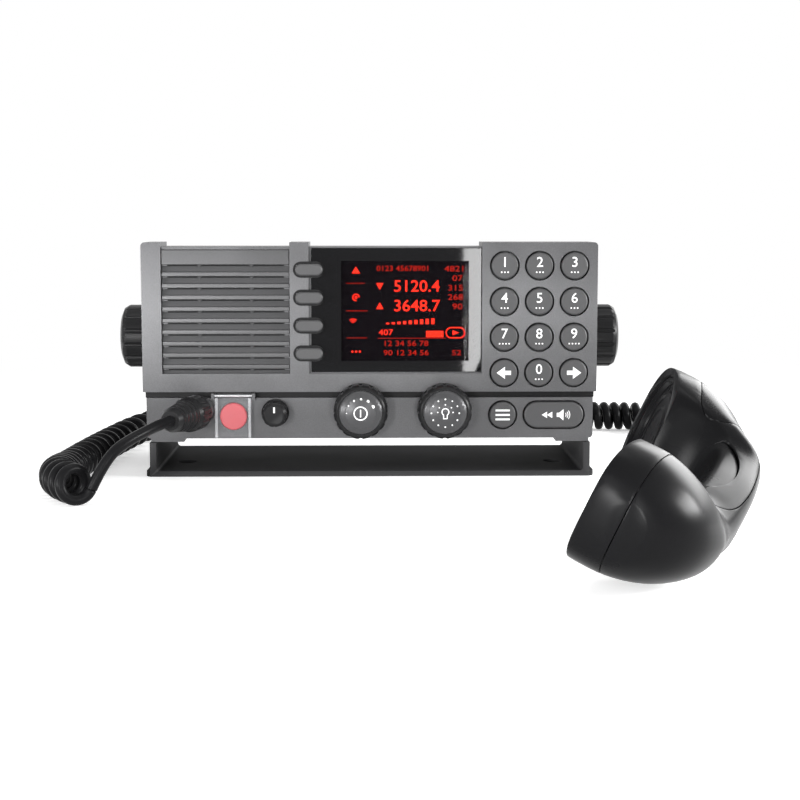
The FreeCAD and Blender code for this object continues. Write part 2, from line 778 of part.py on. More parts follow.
def boards():
    """The rubber mat under the keys and the control board behind it, clear of the screen and the socket."""
    flange_back = "panel_wall + recess_depth + foot_gap + key_flange_thickness"
    mat_front = f"-({flange_back} + mat_gap)"
    right = "strip_width / 2 - panel_side - 0.2"
    low = "panel_bottom + panel_side + 0.2"
    high = "panel_top - recess_depth - panel_side - 0.2"
    mat = body("keypad_mat")
    on_face(mat)
    sheet_outline = sketch(mat, at=f"{mat_front} - mat_thickness")
    rectangle(sheet_outline, "keypad_left + 1.5", low, right, high)
    pad(mat, sheet_outline, "mat_thickness")
    board = body("control_board")
    on_face(board)
    outline = sketch(board, at=f"{mat_front} - mat_thickness - board_thickness")
    edge = "plug_x + socket_width / 2 + 5.5"
    polygon(outline, [
        (edge, low),
        (right, low),
        (right, high),
        ("keypad_left + 1.5", high),
        ("keypad_left + 1.5", "strip_top + 2"),
        ("-soft_left + soft_stem + 4", "strip_top + 2"),
        ("-soft_left + soft_stem + 4", "soft_first_z + 6"),
        ("-soft_left - 2", "soft_first_z + 6"),
        ("-soft_left - 2", "strip_top + 2"),
        (edge, "strip_top + 2"),
    ])
    pad(board, outline, "board_thickness")
    main = body("main_board")
    on_face(main)
    wide = sketch(main, at="-panel_depth - flange_thickness - gasket_thickness - case_depth + case_wall + 14")
    rectangle(wide, "-case_width / 2 + case_wall + 0.2", "case_bottom + case_wall + 0.2",
              "case_width / 2 - case_wall - 0.2", "case_top - case_wall - 0.2")
    pad(main, wide, "board_thickness")


def encoders():
    """Three rotary encoders on the control board, each a square body with a sleeve through the panel."""
    front = "-(panel_wall + recess_depth + foot_gap + key_flange_thickness + mat_gap + mat_thickness)"
    made = []
    for name, x, z, reach in (("volume", "knob_x", "knob_z", "ring_stand_off + ring_seat - 0.4"),
                              ("dimmer", "dimmer_x", "knob_z", "ring_stand_off + ring_seat - 0.4"),
                              ("gain", "rf_x", "rf_z", "-0.4")):
        part = doc.addObject("PartDesign::Body", f"{name}_encoder")
        on_face(part, x, z)
        square = sketch(part, at=front)
        rectangle(square, "-encoder_width / 2", "-encoder_width / 2", "encoder_width / 2", "encoder_width / 2")
        pad(part, square, f"-({front}) - panel_wall - recess_depth")
        tube = sketch(part, at=front)
        circle(tube, "0", "0", "sleeve_width")
        pad(part, tube, f"-({front}) + {reach}")
        bore = sketch(part, at=front)
        circle(bore, "0", "0", "shaft_width + 2 * running_gap")
        pocket(part, bore, f"-({front}) + {reach} + 1", out=True)
        made.append(part)
    group = doc.addObject("Part::Compound", "rotary_encoders")
    group.Links = made
    node(group, "rotary_encoders")


def control_knobs():
    """Two pairs of fluted ring and domed push cap, and the small gain knob."""
    for name, x in (("volume", "knob_x"), ("dimmer", "dimmer_x")):
        ring = body(f"{name}_ring")
        on_face(ring, x, "knob_z", "ring_stand_off")
        turned(ring, [
            ("sleeve_width / 2 + running_gap", "0"),
            ("ring_width / 2", "0"),
            ("ring_width / 2", "ring_length - 3.2"),
            ("ring_width / 2 - 1.0", "ring_length - 0.8"),
            ("ring_width / 2 - 2.0", "ring_length"),
            ("cap_width / 2 + 0.2", "ring_length"),
            ("cap_width / 2 + 0.2", "ring_seat"),
            ("sleeve_width / 2 + running_gap", "ring_seat"),
        ])
        flute = sketch(ring, "XY_Plane", "ring_length + 1")
        circle(flute, "ring_width / 2 + ring_flute_width * 0.28", "0", "ring_flute_width")
        cut = pocket(ring, flute, "ring_length - 1.2")
        around(ring, cut, "ring_flutes")
        cap = body(f"{name}_cap")
        on_face(cap, x, "knob_z", "ring_stand_off")
        edge = "ring_seat + cap_travel + 0.3"
        turned(cap, [
            ("0", "-panel_wall"),
            ("shaft_width / 2", "-panel_wall"),
            ("shaft_width / 2", edge),
            ("cap_width / 2", edge),
            ("cap_width / 2", "ring_length + 0.2"),
            ("cap_width / 2 - 1.2", "ring_length + cap_dome * 0.38"),
            ("cap_width * 0.34", "ring_length + cap_dome * 0.74"),
            ("cap_width * 0.18", "ring_length + cap_dome * 0.94"),
            ("0", "ring_length + cap_dome"),
        ])
    gain = body("gain_knob")
    on_face(gain, "rf_x", "rf_z")
    turned(gain, [
        ("0", "-panel_wall"),
        ("shaft_width / 2", "-panel_wall"),
        ("shaft_width / 2", "0"),
        ("rf_width / 2 + 0.8", "0"),
        ("rf_width / 2 + 0.8", "1.6"),
        ("rf_width / 2", "2.4"),
        ("rf_width / 2", "rf_length - 1.4"),
        ("rf_width / 2 - 1.4", "rf_length"),
        ("0", "rf_length"),
    ])
    flute = sketch(gain, "XY_Plane", "rf_length + 1")
    circle(flute, "rf_width / 2 + 0.5", "0", "1.6")
    cut = pocket(gain, flute, "rf_length - 2")
    around(gain, cut, "rf_flutes")


def distress():
    """The distress button under a clear cover that is hinged on a pin above it."""
    def face(item):
        circle(item, "0", "0", "distress_width")

    def skirt(item):
        circle(item, "0", "0", "distress_flange")

    button("distress_button", "distress_x", "distress_z", face, skirt, "distress_rise - strip_set_back", "key_edge")
    cover = body("distress_cover")
    on_face(cover, "distress_x")
    back = "-strip_set_back + foot_gap"
    front = "-strip_set_back + cover_depth"
    block = sketch(cover, at=back)
    rectangle(block, "-cover_width / 2", "cover_low", "cover_width / 2", "cover_hinge_z - 1.2")
    pad(cover, block, "cover_depth - foot_gap")
    barrel = sketch(cover, "YZ_Plane", "-cover_width / 2")
    circle(barrel, "cover_hinge_z", "cover_hinge_out", "hinge_barrel")
    pad(cover, barrel, "cover_width")
    web = sketch(cover, "YZ_Plane", "-cover_width / 2")
    rectangle(web, "cover_hinge_z - 1.6", "cover_hinge_out - 0.9", "cover_hinge_z", "cover_hinge_out + 0.9")
    pad(cover, web, "cover_width")
    hollow = sketch(cover, at=back)
    rectangle(hollow, "-cover_width / 2 + cover_flange", "cover_low + cover_wall",
              "cover_width / 2 - cover_flange", "cover_hinge_z - 1.2 - cover_wall")
    pocket(cover, hollow, "cover_depth - foot_gap - cover_wall", out=True)
    bore = sketch(cover, "YZ_Plane", "cover_width / 2 + 1")
    circle(bore, "cover_hinge_z", "cover_hinge_out", "hinge_pin + 2 * running_gap")
    pocket(cover, bore, "cover_width + 2")
    pin = doc.addObject("Part::Cylinder", "hinge_pin")
    bind(pin, "Radius", "hinge_pin / 2")
    bind(pin, "Height", "cover_width + 2 * ear_width + 0.6")
    left_end = "distress_x - cover_width / 2 - ear_width - 0.3"
    place(pin, left_end, "-panel_ahead - cover_hinge_out", "cover_hinge_z", SIDE)
    node(pin, "hinge_pin")


def lean():
    """The turn of the handset plug, whose axis leans to the left of straight out."""
    return Rotation(Vector(0, 0, 1), -size("plug_lean")).multiply(FACE)


def handset_plug():
    """The socket in the panel, the plug with its ribbed boot, and the collar that locks it."""
    def seat(part):
        place(part, "plug_x", "-panel_ahead", "plug_z", lean())

    socket = body("handset_socket")
    seat(socket)
    turned(socket, [
        ("0", "-socket_length"),
        ("socket_width / 2", "-socket_length"),
        ("socket_width / 2", "boss_rise"),
        ("plug_bore / 2 + 0.2", "boss_rise"),
        ("plug_bore / 2 + 0.2", "-2"),
        ("0", "-2"),
    ])
    plug = body("plug_body")
    seat(plug)
    start = "boss_rise + 2 * collar_gap + collar_length"
    step = "(boot_length - 5) / boot_ribs"
    outline = [
        ("0", "-1.7"),
        ("plug_bore / 2", "-1.7"),
        ("plug_bore / 2", start),
        ("plug_bore / 2 + 1.9", start),
        ("plug_bore / 2 + 1.9", f"{start} + 2"),
    ]
    ribs = int(size("boot_ribs"))
    for k in range(ribs):
        low = f"({start} + 2.4 + {k} * {step})"
        wide = f"(boot_tip / 2 + {ribs - 1 - k} * (plug_bore / 2 + 1.6 - boot_tip / 2) / {ribs})"
        outline += [(wide, low), (f"{wide} + 0.6", f"{low} + 0.8"), (f"{wide} + 0.6", f"{low} + {step} - 1")]
    outline += [
        ("boot_tip / 2", f"{start} + boot_length - 2"),
        ("boot_tip / 2 - 0.8", f"{start} + boot_length"),
        ("0", f"{start} + boot_length"),
    ]
    turned(plug, outline)
    collar = body("plug_collar")
    seat(collar)
    low = "boss_rise + collar_gap"
    turned(collar, [
        ("plug_bore / 2 + running_gap", low),
        ("collar_width / 2 - 0.8", low),
        ("collar_width / 2", f"{low} + 1.2"),
        ("collar_width / 2", f"{low} + collar_length - 3"),
        ("collar_width / 2 - 1.4", f"{low} + collar_length"),
        ("plug_bore / 2 + running_gap", f"{low} + collar_length"),
    ])
    flute = sketch(collar, "XY_Plane", f"{low} + collar_length + 1")
    circle(flute, "collar_width / 2 + 0.45", "0", "1.7")
    cut = pocket(collar, flute, "collar_length - 1.4")
    around(collar, cut, "collar_ribs")


def rear_case():
    """The case behind the panel: a flange, a box with ribs on its back, and the gasket in front."""
    part = body("rear_case")
    on_face(part)
    seam = "panel_depth + gasket_thickness"
    left = "-strip_width / 2 + 1"
    low = "panel_bottom + 1"
    high = "panel_top - recess_depth - 1"
    flange = sketch(part, at=f"-({seam} + flange_thickness)")
    rectangle(flange, left, low, f"-({left})", high)
    pad(part, flange, "flange_thickness")
    box = sketch(part, at=f"-({seam} + flange_thickness + case_depth)")
    rectangle(box, "-case_width / 2", "case_bottom", "case_width / 2", "case_top")
    pad(part, box, "case_depth + 0.5")
    doc.recompute()
    back = -(size("panel_depth") + size("gasket_thickness") + size("flange_thickness") + size("case_depth"))
    rear_edges = lambda e: level(e, back) or (e.BoundBox.ZMin < back + 1 and e.BoundBox.ZLength > 30)
    soften(part, "case_edge", rear_edges)
    hollow = sketch(part, at=f"-({seam})")
    rectangle(hollow, "-case_width / 2 + case_wall", "case_bottom + case_wall",
              "case_width / 2 - case_wall", "case_top - case_wall")
    pocket(part, hollow, "flange_thickness + case_depth - case_wall")
    fin = sketch(part, at=f"-({seam} + flange_thickness + case_depth + fin_height)")
    rectangle(fin, "-case_width / 2 + 12", "case_top - 14", "case_width / 2 - 12", "case_top - 14 + fin_width")
    fins = pad(part, fin, "fin_height + 0.5")
    along(part, fins, "Y_Axis", "fin_pitch * (fin_count - 1)", "fin_count")
    shafts = sketch(part, "YZ_Plane", "case_width / 2 + 1")
    circle(shafts, "pivot_height", "-pivot_back - panel_ahead", "insert_width + 2 * running_gap")
    pocket(part, shafts, "case_width + 2")
    ports = sketch(part, at=f"-({seam} + flange_thickness + case_depth - case_wall - 1)")
    rectangle(ports, "port_x - port_width / 2 - 0.3", "port_z - port_height / 2 - 0.3",
              "port_x + port_width / 2 + 0.3", "port_z + port_height / 2 + 0.3")
    circle(ports, "power_x", "port_z", "power_width + 0.4")
    circle(ports, "earth_x", "port_z", "earth_width + 0.4")
    pocket(part, ports, "case_wall + fin_height + 2")
    screws = sketch(part, at=f"-({seam})")
    for x in ("-screw_x", "screw_x"):
        for z in ("screw_low", "screw_high"):
            circle(screws, x, z, "screw_shank + 0.4")
    pocket(part, screws, "flange_thickness + 1")
    doc.recompute()
    rear = -(size("panel_depth") + size("gasket_thickness") + size("flange_thickness"))
    shank = size("screw_shank") / 2 + 0.2
    soften(part, "(screw_cap - screw_shank) / 2 - 0.1",
           lambda e: level(e, rear) and isinstance(e.Curve, Part.Circle) and abs(e.Curve.Radius - shank) < 0.05,
           "PartDesign::Chamfer")
    gasket = body("panel_gasket")
    on_face(gasket)
    ring = sketch(gasket, at=f"-({seam})")
    rectangle(ring, left, low, f"-({left})", high)
    rectangle(ring, "-strip_width / 2 + panel_side", "panel_bottom + panel_side",
              "strip_width / 2 - panel_side", "panel_top - recess_depth - panel_side")
    pad(gasket, ring, "gasket_thickness")


def case_fittings():
    """Threaded pivot inserts with their washers, case screws, rear connectors and the earth stud."""
    made = []
    for side, turn in ((-1, -90), (1, 90)):
        part = doc.addObject("PartDesign::Body", "pivot_insert")
        turned(part, [
            ("stud_width / 2 + running_gap", "-insert_length"),
            ("insert_width / 2", "-insert_length"),
            ("insert_width / 2", "0"),
            ("washer_width / 2", "0"),
            ("washer_width / 2", "washer_thickness"),
            ("stud_width / 2 + running_gap", "washer_thickness"),
        ])
        place(part, f"{side} * case_width / 2", "pivot_back", "pivot_height", Rotation(Vector(0, 1, 0), turn))
        made.append(part)
    group = doc.addObject("Part::Compound", "pivot_inserts")
    group.Links = made
    node(group, "pivot_inserts")
    made = []
    rear = "panel_depth + gasket_thickness + flange_thickness"
    for x in ("-screw_x", "screw_x"):
        for z in ("screw_low", "screw_high"):
            part = doc.addObject("PartDesign::Body", "case_screw")
            on_face(part, x, z, f"-({rear})")
            turned(part, [
                ("0", "0"),
                ("screw_cap / 2", "0"),
                ("screw_shank / 2", "(screw_cap - screw_shank) / 2"),
                ("screw_shank / 2", "screw_length"),
                ("0", "screw_length"),
            ])
            made.append(part)
    group = doc.addObject("Part::Compound", "case_screws")
    group.Links = made
    node(group, "case_screws")
    back = f"{rear} + case_depth"
    board = f"{back} - case_wall - 14"
    port = body("system_connector")
    on_face(port)
    shell = sketch(port, at=f"-({back} + port_reach)")
    rectangle(shell, "port_x - port_width / 2", "port_z - port_height / 2",
              "port_x + port_width / 2", "port_z + port_height / 2")
    pad(port, shell, f"{back} + port_reach - ({board}) - 0.1")
    plate = sketch(port, at=f"-({back} + 1.2)")
    rectangle(plate, "port_x - port_width / 2 - 7", "port_z - port_height / 2 - 1.6",
              "port_x + port_width / 2 + 7", "port_z + port_height / 2 + 1.6")
    pad(port, plate, "1.2")
    mouth = sketch(port, at=f"-({back} + port_reach)")
    rectangle(mouth, "port_x - port_width / 2 + 1", "port_z - port_height / 2 + 1",
              "port_x + port_width / 2 - 1", "port_z + port_height / 2 - 1")
    pocket(port, mouth, "port_reach", out=True)
    for name, x, width, inside, reach in (
            ("power_socket", "power_x", "power_width", f"-({board}) - 0.1", "port_reach + 2"),
            ("earth_stud", "earth_x", "earth_width", f"-({back}) + case_wall + 3", "port_reach + 6")):
        part = body(name)
        on_face(part, x, "port_z")
        rod = sketch(part, at=f"-({back} + {reach})")
        circle(rod, "0", "0", width)
        pad(part, rod, f"{back} + {reach} + ({inside})")
        plate = sketch(part, at=f"-({back} + 2)")
        circle(plate, "0", "0", f"{width} + 5")
        pad(part, plate, "2")


def run_and_arc_path(points):
    """Straight runs joined by tangent arcs, each as large as its runs allow. Gives the wire and the radii."""
    edges = []
    radii = []
    last = points[0]
    for before, corner, after in zip(points, points[1:], points[2:]):
        inward = (before - corner).normalize()
        outward = (after - corner).normalize()
        turn = math.pi - inward.getAngle(outward)
        reach = ARC_SHARE * min((corner - before).Length, (after - corner).Length)
        radius = reach / math.tan(turn / 2)
        bisector = (inward + outward).normalize()
        middle = corner + bisector * (radius / math.cos(turn / 2) - radius)
        edges.append(Part.LineSegment(last, corner + inward * reach).toShape())
        edges.append(Part.Arc(corner + inward * reach, middle, corner + outward * reach).toShape())
        radii.append(radius)
        last = corner + outward * reach
    edges.append(Part.LineSegment(last, points[-1]).toShape())
    return Part.Wire(edges), radii


def biarc(start, heading, end, arrival):
    """Two arcs that leave one point along its heading and reach the next along its own."""
    chord = end - start
    both = heading + arrival
    a = both.dot(both) - 4
    b = chord.dot(both)
    root = math.sqrt(max(b * b - a * chord.dot(chord), 0))
    reach = chord.dot(chord) / (2 * b) if abs(a) < 1e-9 else max((b - root) / a, (b + root) / a)
    joint = (start + heading * reach + end - arrival * reach) * 0.5
    through = ((end - arrival * reach) - (start + heading * reach)).normalize()
    edges = []
    for first, way, second in ((start, heading, joint), (joint, through, end)):
        span = second - first
        forward = (second - first).normalize()
        aside = way - forward * way.dot(forward)
        if aside.Length < 1e-5:
            edges.append(Part.LineSegment(first, second).toShape())
            continue
        angle = math.acos(max(-1, min(1, way.dot(forward))))
        middle = first + span * 0.5 + aside.normalize() * (span.Length / 2 * math.tan(angle / 2))
        edges.append(Part.Arc(first, middle, second).toShape())
    return edges


def between(stations, distance):
    """A value that changes evenly between the stations of a list of (distance, value)."""
    for (low, first), (high, second) in zip(stations, stations[1:]):
        if distance <= high:
            return first + (second - first) * max(0.0, (distance - low) / (high - low))
    return stations[-1][1]


def tube(path, width, sides=0):
    """A tube along a path: round, or with flat sides."""
    first = path.Edges[0]
    start = first.valueAt(first.FirstParameter)
    way = first.tangentAt(first.FirstParameter)
    if sides:
        across = way.cross(Vector(0, 0, 1)).normalize()
        up = across.cross(way)
        turns = [2 * math.pi * k / sides for k in range(sides)]
        corners = [start + (across * math.cos(a) + up * math.sin(a)) * (width / 2) for a in turns]
        section = Part.makePolygon(corners + corners[:1])
    else:
        section = Part.Wire([Part.Circle(start, way, width / 2).toShape()])
    sweep = Part.BRepOffsetAPI.MakePipeShell(path)
    sweep.add(section)
    sweep.build()
    sweep.makeSolid()
    return sweep.shape()


def least_gap(points, skip, width):
    """The least gap between two stretches of a tube that lie more than some points apart."""
    nearest = 1e9
    cells = {}
    for k, point in enumerate(points):
        key = tuple(int(c // GAP_CELL) for c in point)
        for shift in itertools.product((-1, 0, 1), repeat=3):
            for other in cells.get(tuple(a + b for a, b in zip(key, shift)), ()):
                if k - other > skip:
                    nearest = min(nearest, (point - points[other]).Length)
        cells.setdefault(key, []).append(k)
    return nearest - width


def plug_tail():
    """Where the cord leaves the plug's boot, and the way it points."""
    way = lean().multVec(Vector(0, 0, 1))
    reach = size("boss_rise") + 2 * size("collar_gap") + size("collar_length") + size("boot_length")
    return Vector(size("plug_x"), -size("panel_ahead"), size("plug_z")) + way * reach, way


def coil_line():
    """The curly cord's line: its curls about a route, from the loops at the left to the strain relief."""
    wire = size("wire_width")
    tip, way_out = relief_tip()
    floor = size("coil_radius") + wire / 2
    points = [Vector(x, y, floor) for x, y in COIL_ROUTE]
    points += [tip + way_out * 40 + Vector(0, 0, floor - tip.z - way_out.z * 40 + 1.0)]
    points += [tip + way_out * 18, tip + way_out * wire]
    path, radii = run_and_arc_path(points)
    line = path.discretize(Distance=0.5)
    reached = list(itertools.accumulate([0.0] + [(b - a).Length for a, b in zip(line, line[1:])]))
    whole = reached[-1]

    def at(distance):
        k = min(max(bisect.bisect_right(reached, distance), 1), len(line) - 1)
        share = (distance - reached[k - 1]) / (reached[k] - reached[k - 1])
        return line[k - 1] + (line[k] - line[k - 1]) * share

    near, wide, tight, bend = (size(f"{name}_pitch") for name in ("near", "open", "tight", "bend"))
    pitches = [
        (0, size("loop_pitch")), (30, near), (80, near), (240, wide * 0.8), (290, wide), (480, wide),
        (515, tight), (562, tight), (580, bend), (640, bend), (690, wide), (whole, wide),
    ]
    radii = [
        (0, size("loop_radius")), (35, size("loop_radius")), (65, size("coil_radius")),
        (whole - 30, size("coil_radius")), (whole, 0.0),
    ]
    angle = math.radians(FIRST_CURL)
    distance = 0.0
    curled = []
    while distance < whole:
        way = (at(min(distance + 2, whole)) - at(max(distance - 2, 0))).normalize()
        side = way.cross(Vector(0, 0, 1)).normalize()
        up = side.cross(way)
        radius = between(radii, distance)
        lift = Vector(0, 0, max(0, radius - size("coil_radius")))
        curled.append(at(distance) + lift + (side * math.cos(angle) + up * math.sin(angle)) * radius)
        angle -= 2 * math.pi / CURL_STEPS
        distance += between(pitches, distance) / CURL_STEPS
    return curled, tip, way_out, wire, whole


def cords():
    """The straight lead from the plug, and the curly cord that it runs into, each one unbroken tube."""
    curled, tip, way_out, wire, whole = coil_line()
    stations = curled[::CURL_STEPS // 4]
    places = [k * (CURL_STEPS // 4) for k in range(len(stations))]
    ways = [(curled[min(k + 1, len(curled) - 1)] - curled[max(k - 1, 0)]).normalize() for k in places]
    start = stations[0] - ways[0] * wire
    edges = [Part.LineSegment(start, stations[0]).toShape()]
    for k in range(len(stations) - 1):
        edges += biarc(stations[k], ways[k], stations[k + 1], ways[k + 1])
    end = tip + way_out * wire
    edges += biarc(stations[-1], ways[-1], end, way_out * -1)
    edges.append(Part.LineSegment(end, tip).toShape())
    path = Part.Wire(edges)
    item = doc.addObject("Part::Feature", "curly_cord")
    item.Shape = tube(path, wire, COIL_SIDES)
    node(item, "curly_cord")
    ring = COIL_SIDES / 2 * math.sin(2 * math.pi / COIL_SIDES) * (wire / 2) ** 2
    lowest = item.Shape.BoundBox.ZMin
    print("curly cord: curls", round(len(curled) / CURL_STEPS, 1), "route", round(whole),
          "wire", round(path.Length), "least gap", round(least_gap(curled, CURL_STEPS // 2, wire), 2),
          "lowest", round(lowest, 2), "volume share", round(item.Shape.Volume / (ring * path.Length), 4))
    tail, way = plug_tail()
    points = [tail, tail + way * LEAD_START] + [Vector(*p) for p in LEAD_ROUTE]
    points += [start - ways[0] * LEAD_END, start]
    path, radii = run_and_arc_path(points)
    lead = doc.addObject("Part::Feature", "cord_lead")
    lead.Shape = tube(path, wire, COIL_SIDES)
    node(lead, "cord_lead")
    print("lead: length", round(path.Length, 1), "radii", [round(r) for r in radii],
          "volume share", round(lead.Shape.Volume / (ring * path.Length), 4))


def hand_turn():
    """The handset's own axes: X along it from the ear cup to the mouth cup, Y to its back and Z across it."""
    level = Rotation(Vector(0, 0, 1), 90 - size("handset_yaw"))
    nod = Rotation(Vector(0, 1, 0), -size("handset_pitch"))
    roll = Rotation(Vector(1, 0, 0), size("handset_roll") - 180)
    return level.multiply(nod).multiply(roll)


def hand_origin():
    """The middle of the handset, level with its cups' faces."""
    return Vector(size("handset_x"), size("handset_y"), size("handset_z"))


def hand_piece(label, shape):
    """A finished piece of the handset, put in its place."""
    item = doc.addObject("Part::Feature", label)
    item.Shape = shape
    item.Placement = Placement(hand_origin(), hand_turn()).multiply(shape.Placement)
    return node(item, label)


def hand_sections(wall):
    """Stations along the handset: place, inner height, outer height and half width, drawn in by a wall."""
    ear = size("ear_cup_width") / 2
    mouth = size("mouth_cup_width") / 2
    grip = size("grip_width") / 2
    back = size("back_height")
    under = back - size("grip_thickness")
    left = size("ear_reach")
    right = size("mouth_reach")
    ear_rows = [
        (-1.0, 0.10, 0.35, 0.36), (-0.9, -0.08, 0.48, 0.63), (-0.63, -0.25, 0.63, 0.85), (-0.33, -0.25, 0.75, 0.96),
        (0.0, -0.25, 0.83, 1.0), (0.41, -0.25, 0.90, 0.98), (0.74, 0.08, 0.93, 0.93), (1.04, 0.42, 0.96, 0.84),
    ]
    mouth_rows = [
        (-1.0, 0.35, 0.94, 0.74), (-0.76, 0.04, 0.91, 0.86), (-0.4, -0.25, 0.87, 0.96), (0.0, -0.32, 0.79, 1.0),
        (0.4, -0.34, 0.67, 0.93), (0.7, -0.32, 0.54, 0.78), (0.91, -0.15, 0.40, 0.54), (1.0, 0.05, 0.33, 0.30),
    ]
    rows = [(x * left - size("ear_place"), low * back, high * back, half * ear) for x, low, high, half in ear_rows]
    rows += [
        (-size("ear_place") * 0.4, under, back * 0.99, grip * 1.02),
        (0.0, under, back, grip),
        (size("mouth_place") * 0.4, under * 0.94, back * 0.97, grip * 1.1),
    ]
    for x, low, high, half in mouth_rows:
        rows.append((x * right + size("mouth_place"), low * back, high * back, half * mouth))
    if wall:
        rows = [(x, low + wall, high - wall, half - wall) for x, low, high, half in rows[1:-1]]
    return rows


def hand_loft(wall):
    """The handset's smooth outer form, or the hollow that lies one wall inside it."""
    wires = []
    for x, low, high, half in hand_sections(wall):
        middle = low + (high - low) * WIDEST
        corners = []
        for k in range(SECTION_POINTS):
            angle = 2 * math.pi * k / SECTION_POINTS
            c = math.cos(angle)
            s = math.sin(angle)
            power = 1.0 if s > 0 else FACE_POWER
            rise = high - middle if s > 0 else middle - low
            across = half * math.copysign(abs(c) ** power, c)
            corners.append(Vector(x, middle + rise * math.copysign(abs(s) ** power, s), across))
        wires.append(Part.makePolygon(corners + corners[:1]))
    return Part.makeLoft(wires, True, True)


def slab(corners):
    """A block right across the handset, whose outline is given along and up it."""
    outline = [Vector(x, y, -HAND_REACH) for x, y in corners + corners[:1]]
    return Part.Face(Part.makePolygon(outline)).extrude(Vector(0, 0, 2 * HAND_REACH))


def cup_turn(cup, depth=0.0):
    """A placement on a cup's face: local Z into the cup, moved in by a depth."""
    x = -size("ear_place") if cup == "ear" else size("mouth_place")
    lean_angle = math.radians(size("ear_lean") if cup == "ear" else -size("mouth_lean"))
    into = Vector(-math.sin(lean_angle), math.cos(lean_angle), 0)
    return Placement(Vector(x, 0, 0) + into * depth, Rotation(Vector(0, 0, 1), into))


def beyond_face(cup, depth):
    """All that lies outside a cup's face, or outside a plane some way under it."""
    far_corner = Vector(-HAND_REACH, -HAND_REACH, -HAND_REACH)
    tool = Part.makeBox(2 * HAND_REACH, 2 * HAND_REACH, HAND_REACH, far_corner)
    tool.Placement = cup_turn(cup, depth)
    far = HAND_REACH if cup == "mouth" else -HAND_REACH
    return tool.common(slab([(0, -HAND_REACH), (far, -HAND_REACH), (far, HAND_REACH), (0, HAND_REACH)]))


def disc(cup, width, low, high, x=0.0, y=0.0):
    """A round piece square to a cup's face, between two depths under it."""
    shape = Part.makeCylinder(width / 2, high - low, Vector(x, y, low))
    shape.Placement = cup_turn(cup)
    return shape


def relief_turn():
    """A placement at the strain relief's seat in the mouth cup's tip: local Z out along the cord."""
    way = Vector(math.cos(RELIEF_LEAN), math.sin(RELIEF_LEAN), 0)
    seat = Vector(size("mouth_place") + size("mouth_reach"), size("relief_width"), 0) - way * RELIEF_SEAT
    return Placement(seat, Rotation(Vector(0, 0, 1), way))


def relief_tip():
    """Where the cord enters the handset's strain relief, and the way out of the handset there."""
    local = relief_turn()
    way = hand_turn().multVec(local.Rotation.multVec(Vector(0, 0, 1)))
    return hand_origin() + hand_turn().multVec(local.Base) + way * (size("relief_length") + RELIEF_SEAT), way


def handset_shells():
    """Two hollow shells that meet at a seam: one with the cups' faces, one with the rounded back."""
    wall = size("shell_wall")
    floor = size("face_depth") + wall
    whole = hand_loft(0)
    hollow = hand_loft(wall)
    for cup in ("ear", "mouth"):
        whole = whole.cut(beyond_face(cup, 0))
        hollow = hollow.cut(beyond_face(cup, floor))
    band = size("seam_band")
    side_seam = size("back_height") - size("grip_thickness") * 0.5
    ear = size("ear_place")
    mouth = size("mouth_place")
    seam = [
        (-HAND_REACH, band - 10), (-ear, band), (-ear * 0.68, band + 5), (-ear * 0.45, side_seam - 3), (0, side_seam),
        (mouth * 0.4, side_seam - 2), (mouth * 0.6, band + 8), (mouth, band), (HAND_REACH, band - 20),
    ]
    corners = [(HAND_REACH, -HAND_REACH), (-HAND_REACH, -HAND_REACH)]
    inner = whole.common(slab(seam + corners)).cut(hollow)
    raised = [(x, y + size("seam_gap")) for x, y in seam]
    outer = whole.cut(slab(raised + corners)).cut(hollow)
    grip_in = size("back_height") - size("grip_thickness")
    start = size("talk_place")
    gap = size("talk_gap")
    half = size("talk_width") / 2 + gap
    for low in (-half - PIVOT_BOSS, half):
        corner = Vector(start + 1, grip_in + 0.4, low)
        inner = inner.fuse(Part.makeBox(2 * PIVOT_BOSS, 2 * PIVOT_BOSS, PIVOT_BOSS, corner))
    bore = size("talk_pin") / 2 + size("running_gap")
    pivot = Part.makeCylinder(bore, 4 * half, Vector(start + 4, grip_in + 3.6, -2 * half))
    corner = Vector(start - gap, grip_in / 2, -half)
    cuts = [pivot, Part.makeBox(size("talk_length") + 2 * gap, grip_in, 2 * half, corner)]
    for cup, width in (("ear", size("ear_cup_width")), ("mouth", size("mouth_cup_width"))):
        cuts.append(disc(cup, width - 2 * size("cup_rim"), -1, size("face_depth")))
        for radius, count in ((0.0, 1), (size("hole_ring"), 6)):
            for k in range(count):
                angle = 2 * math.pi * k / count
                x = radius * math.cos(angle)
                y = radius * math.sin(angle)
                cuts.append(disc(cup, size("sound_hole"), -1, floor + 1, x, y))
    relief = Part.makeCylinder(size("relief_width") / 2 + 0.1, 4 * RELIEF_SEAT, Vector(0, 0, -RELIEF_SEAT))
    low = RELIEF_SEAT * -0.1 - 0.3
    groove = Part.makeCylinder(size("relief_width") / 2 + 1.8, RELIEF_SEAT * 0.25 + 0.6, Vector(0, 0, low))
    relief = relief.fuse(groove)
    relief.Placement = relief_turn()
    for cut in cuts + [relief]:
        inner = inner.cut(cut)
    hand_piece("handset_inner_shell", inner)
    hand_piece("handset_outer_shell", outer.cut(relief))


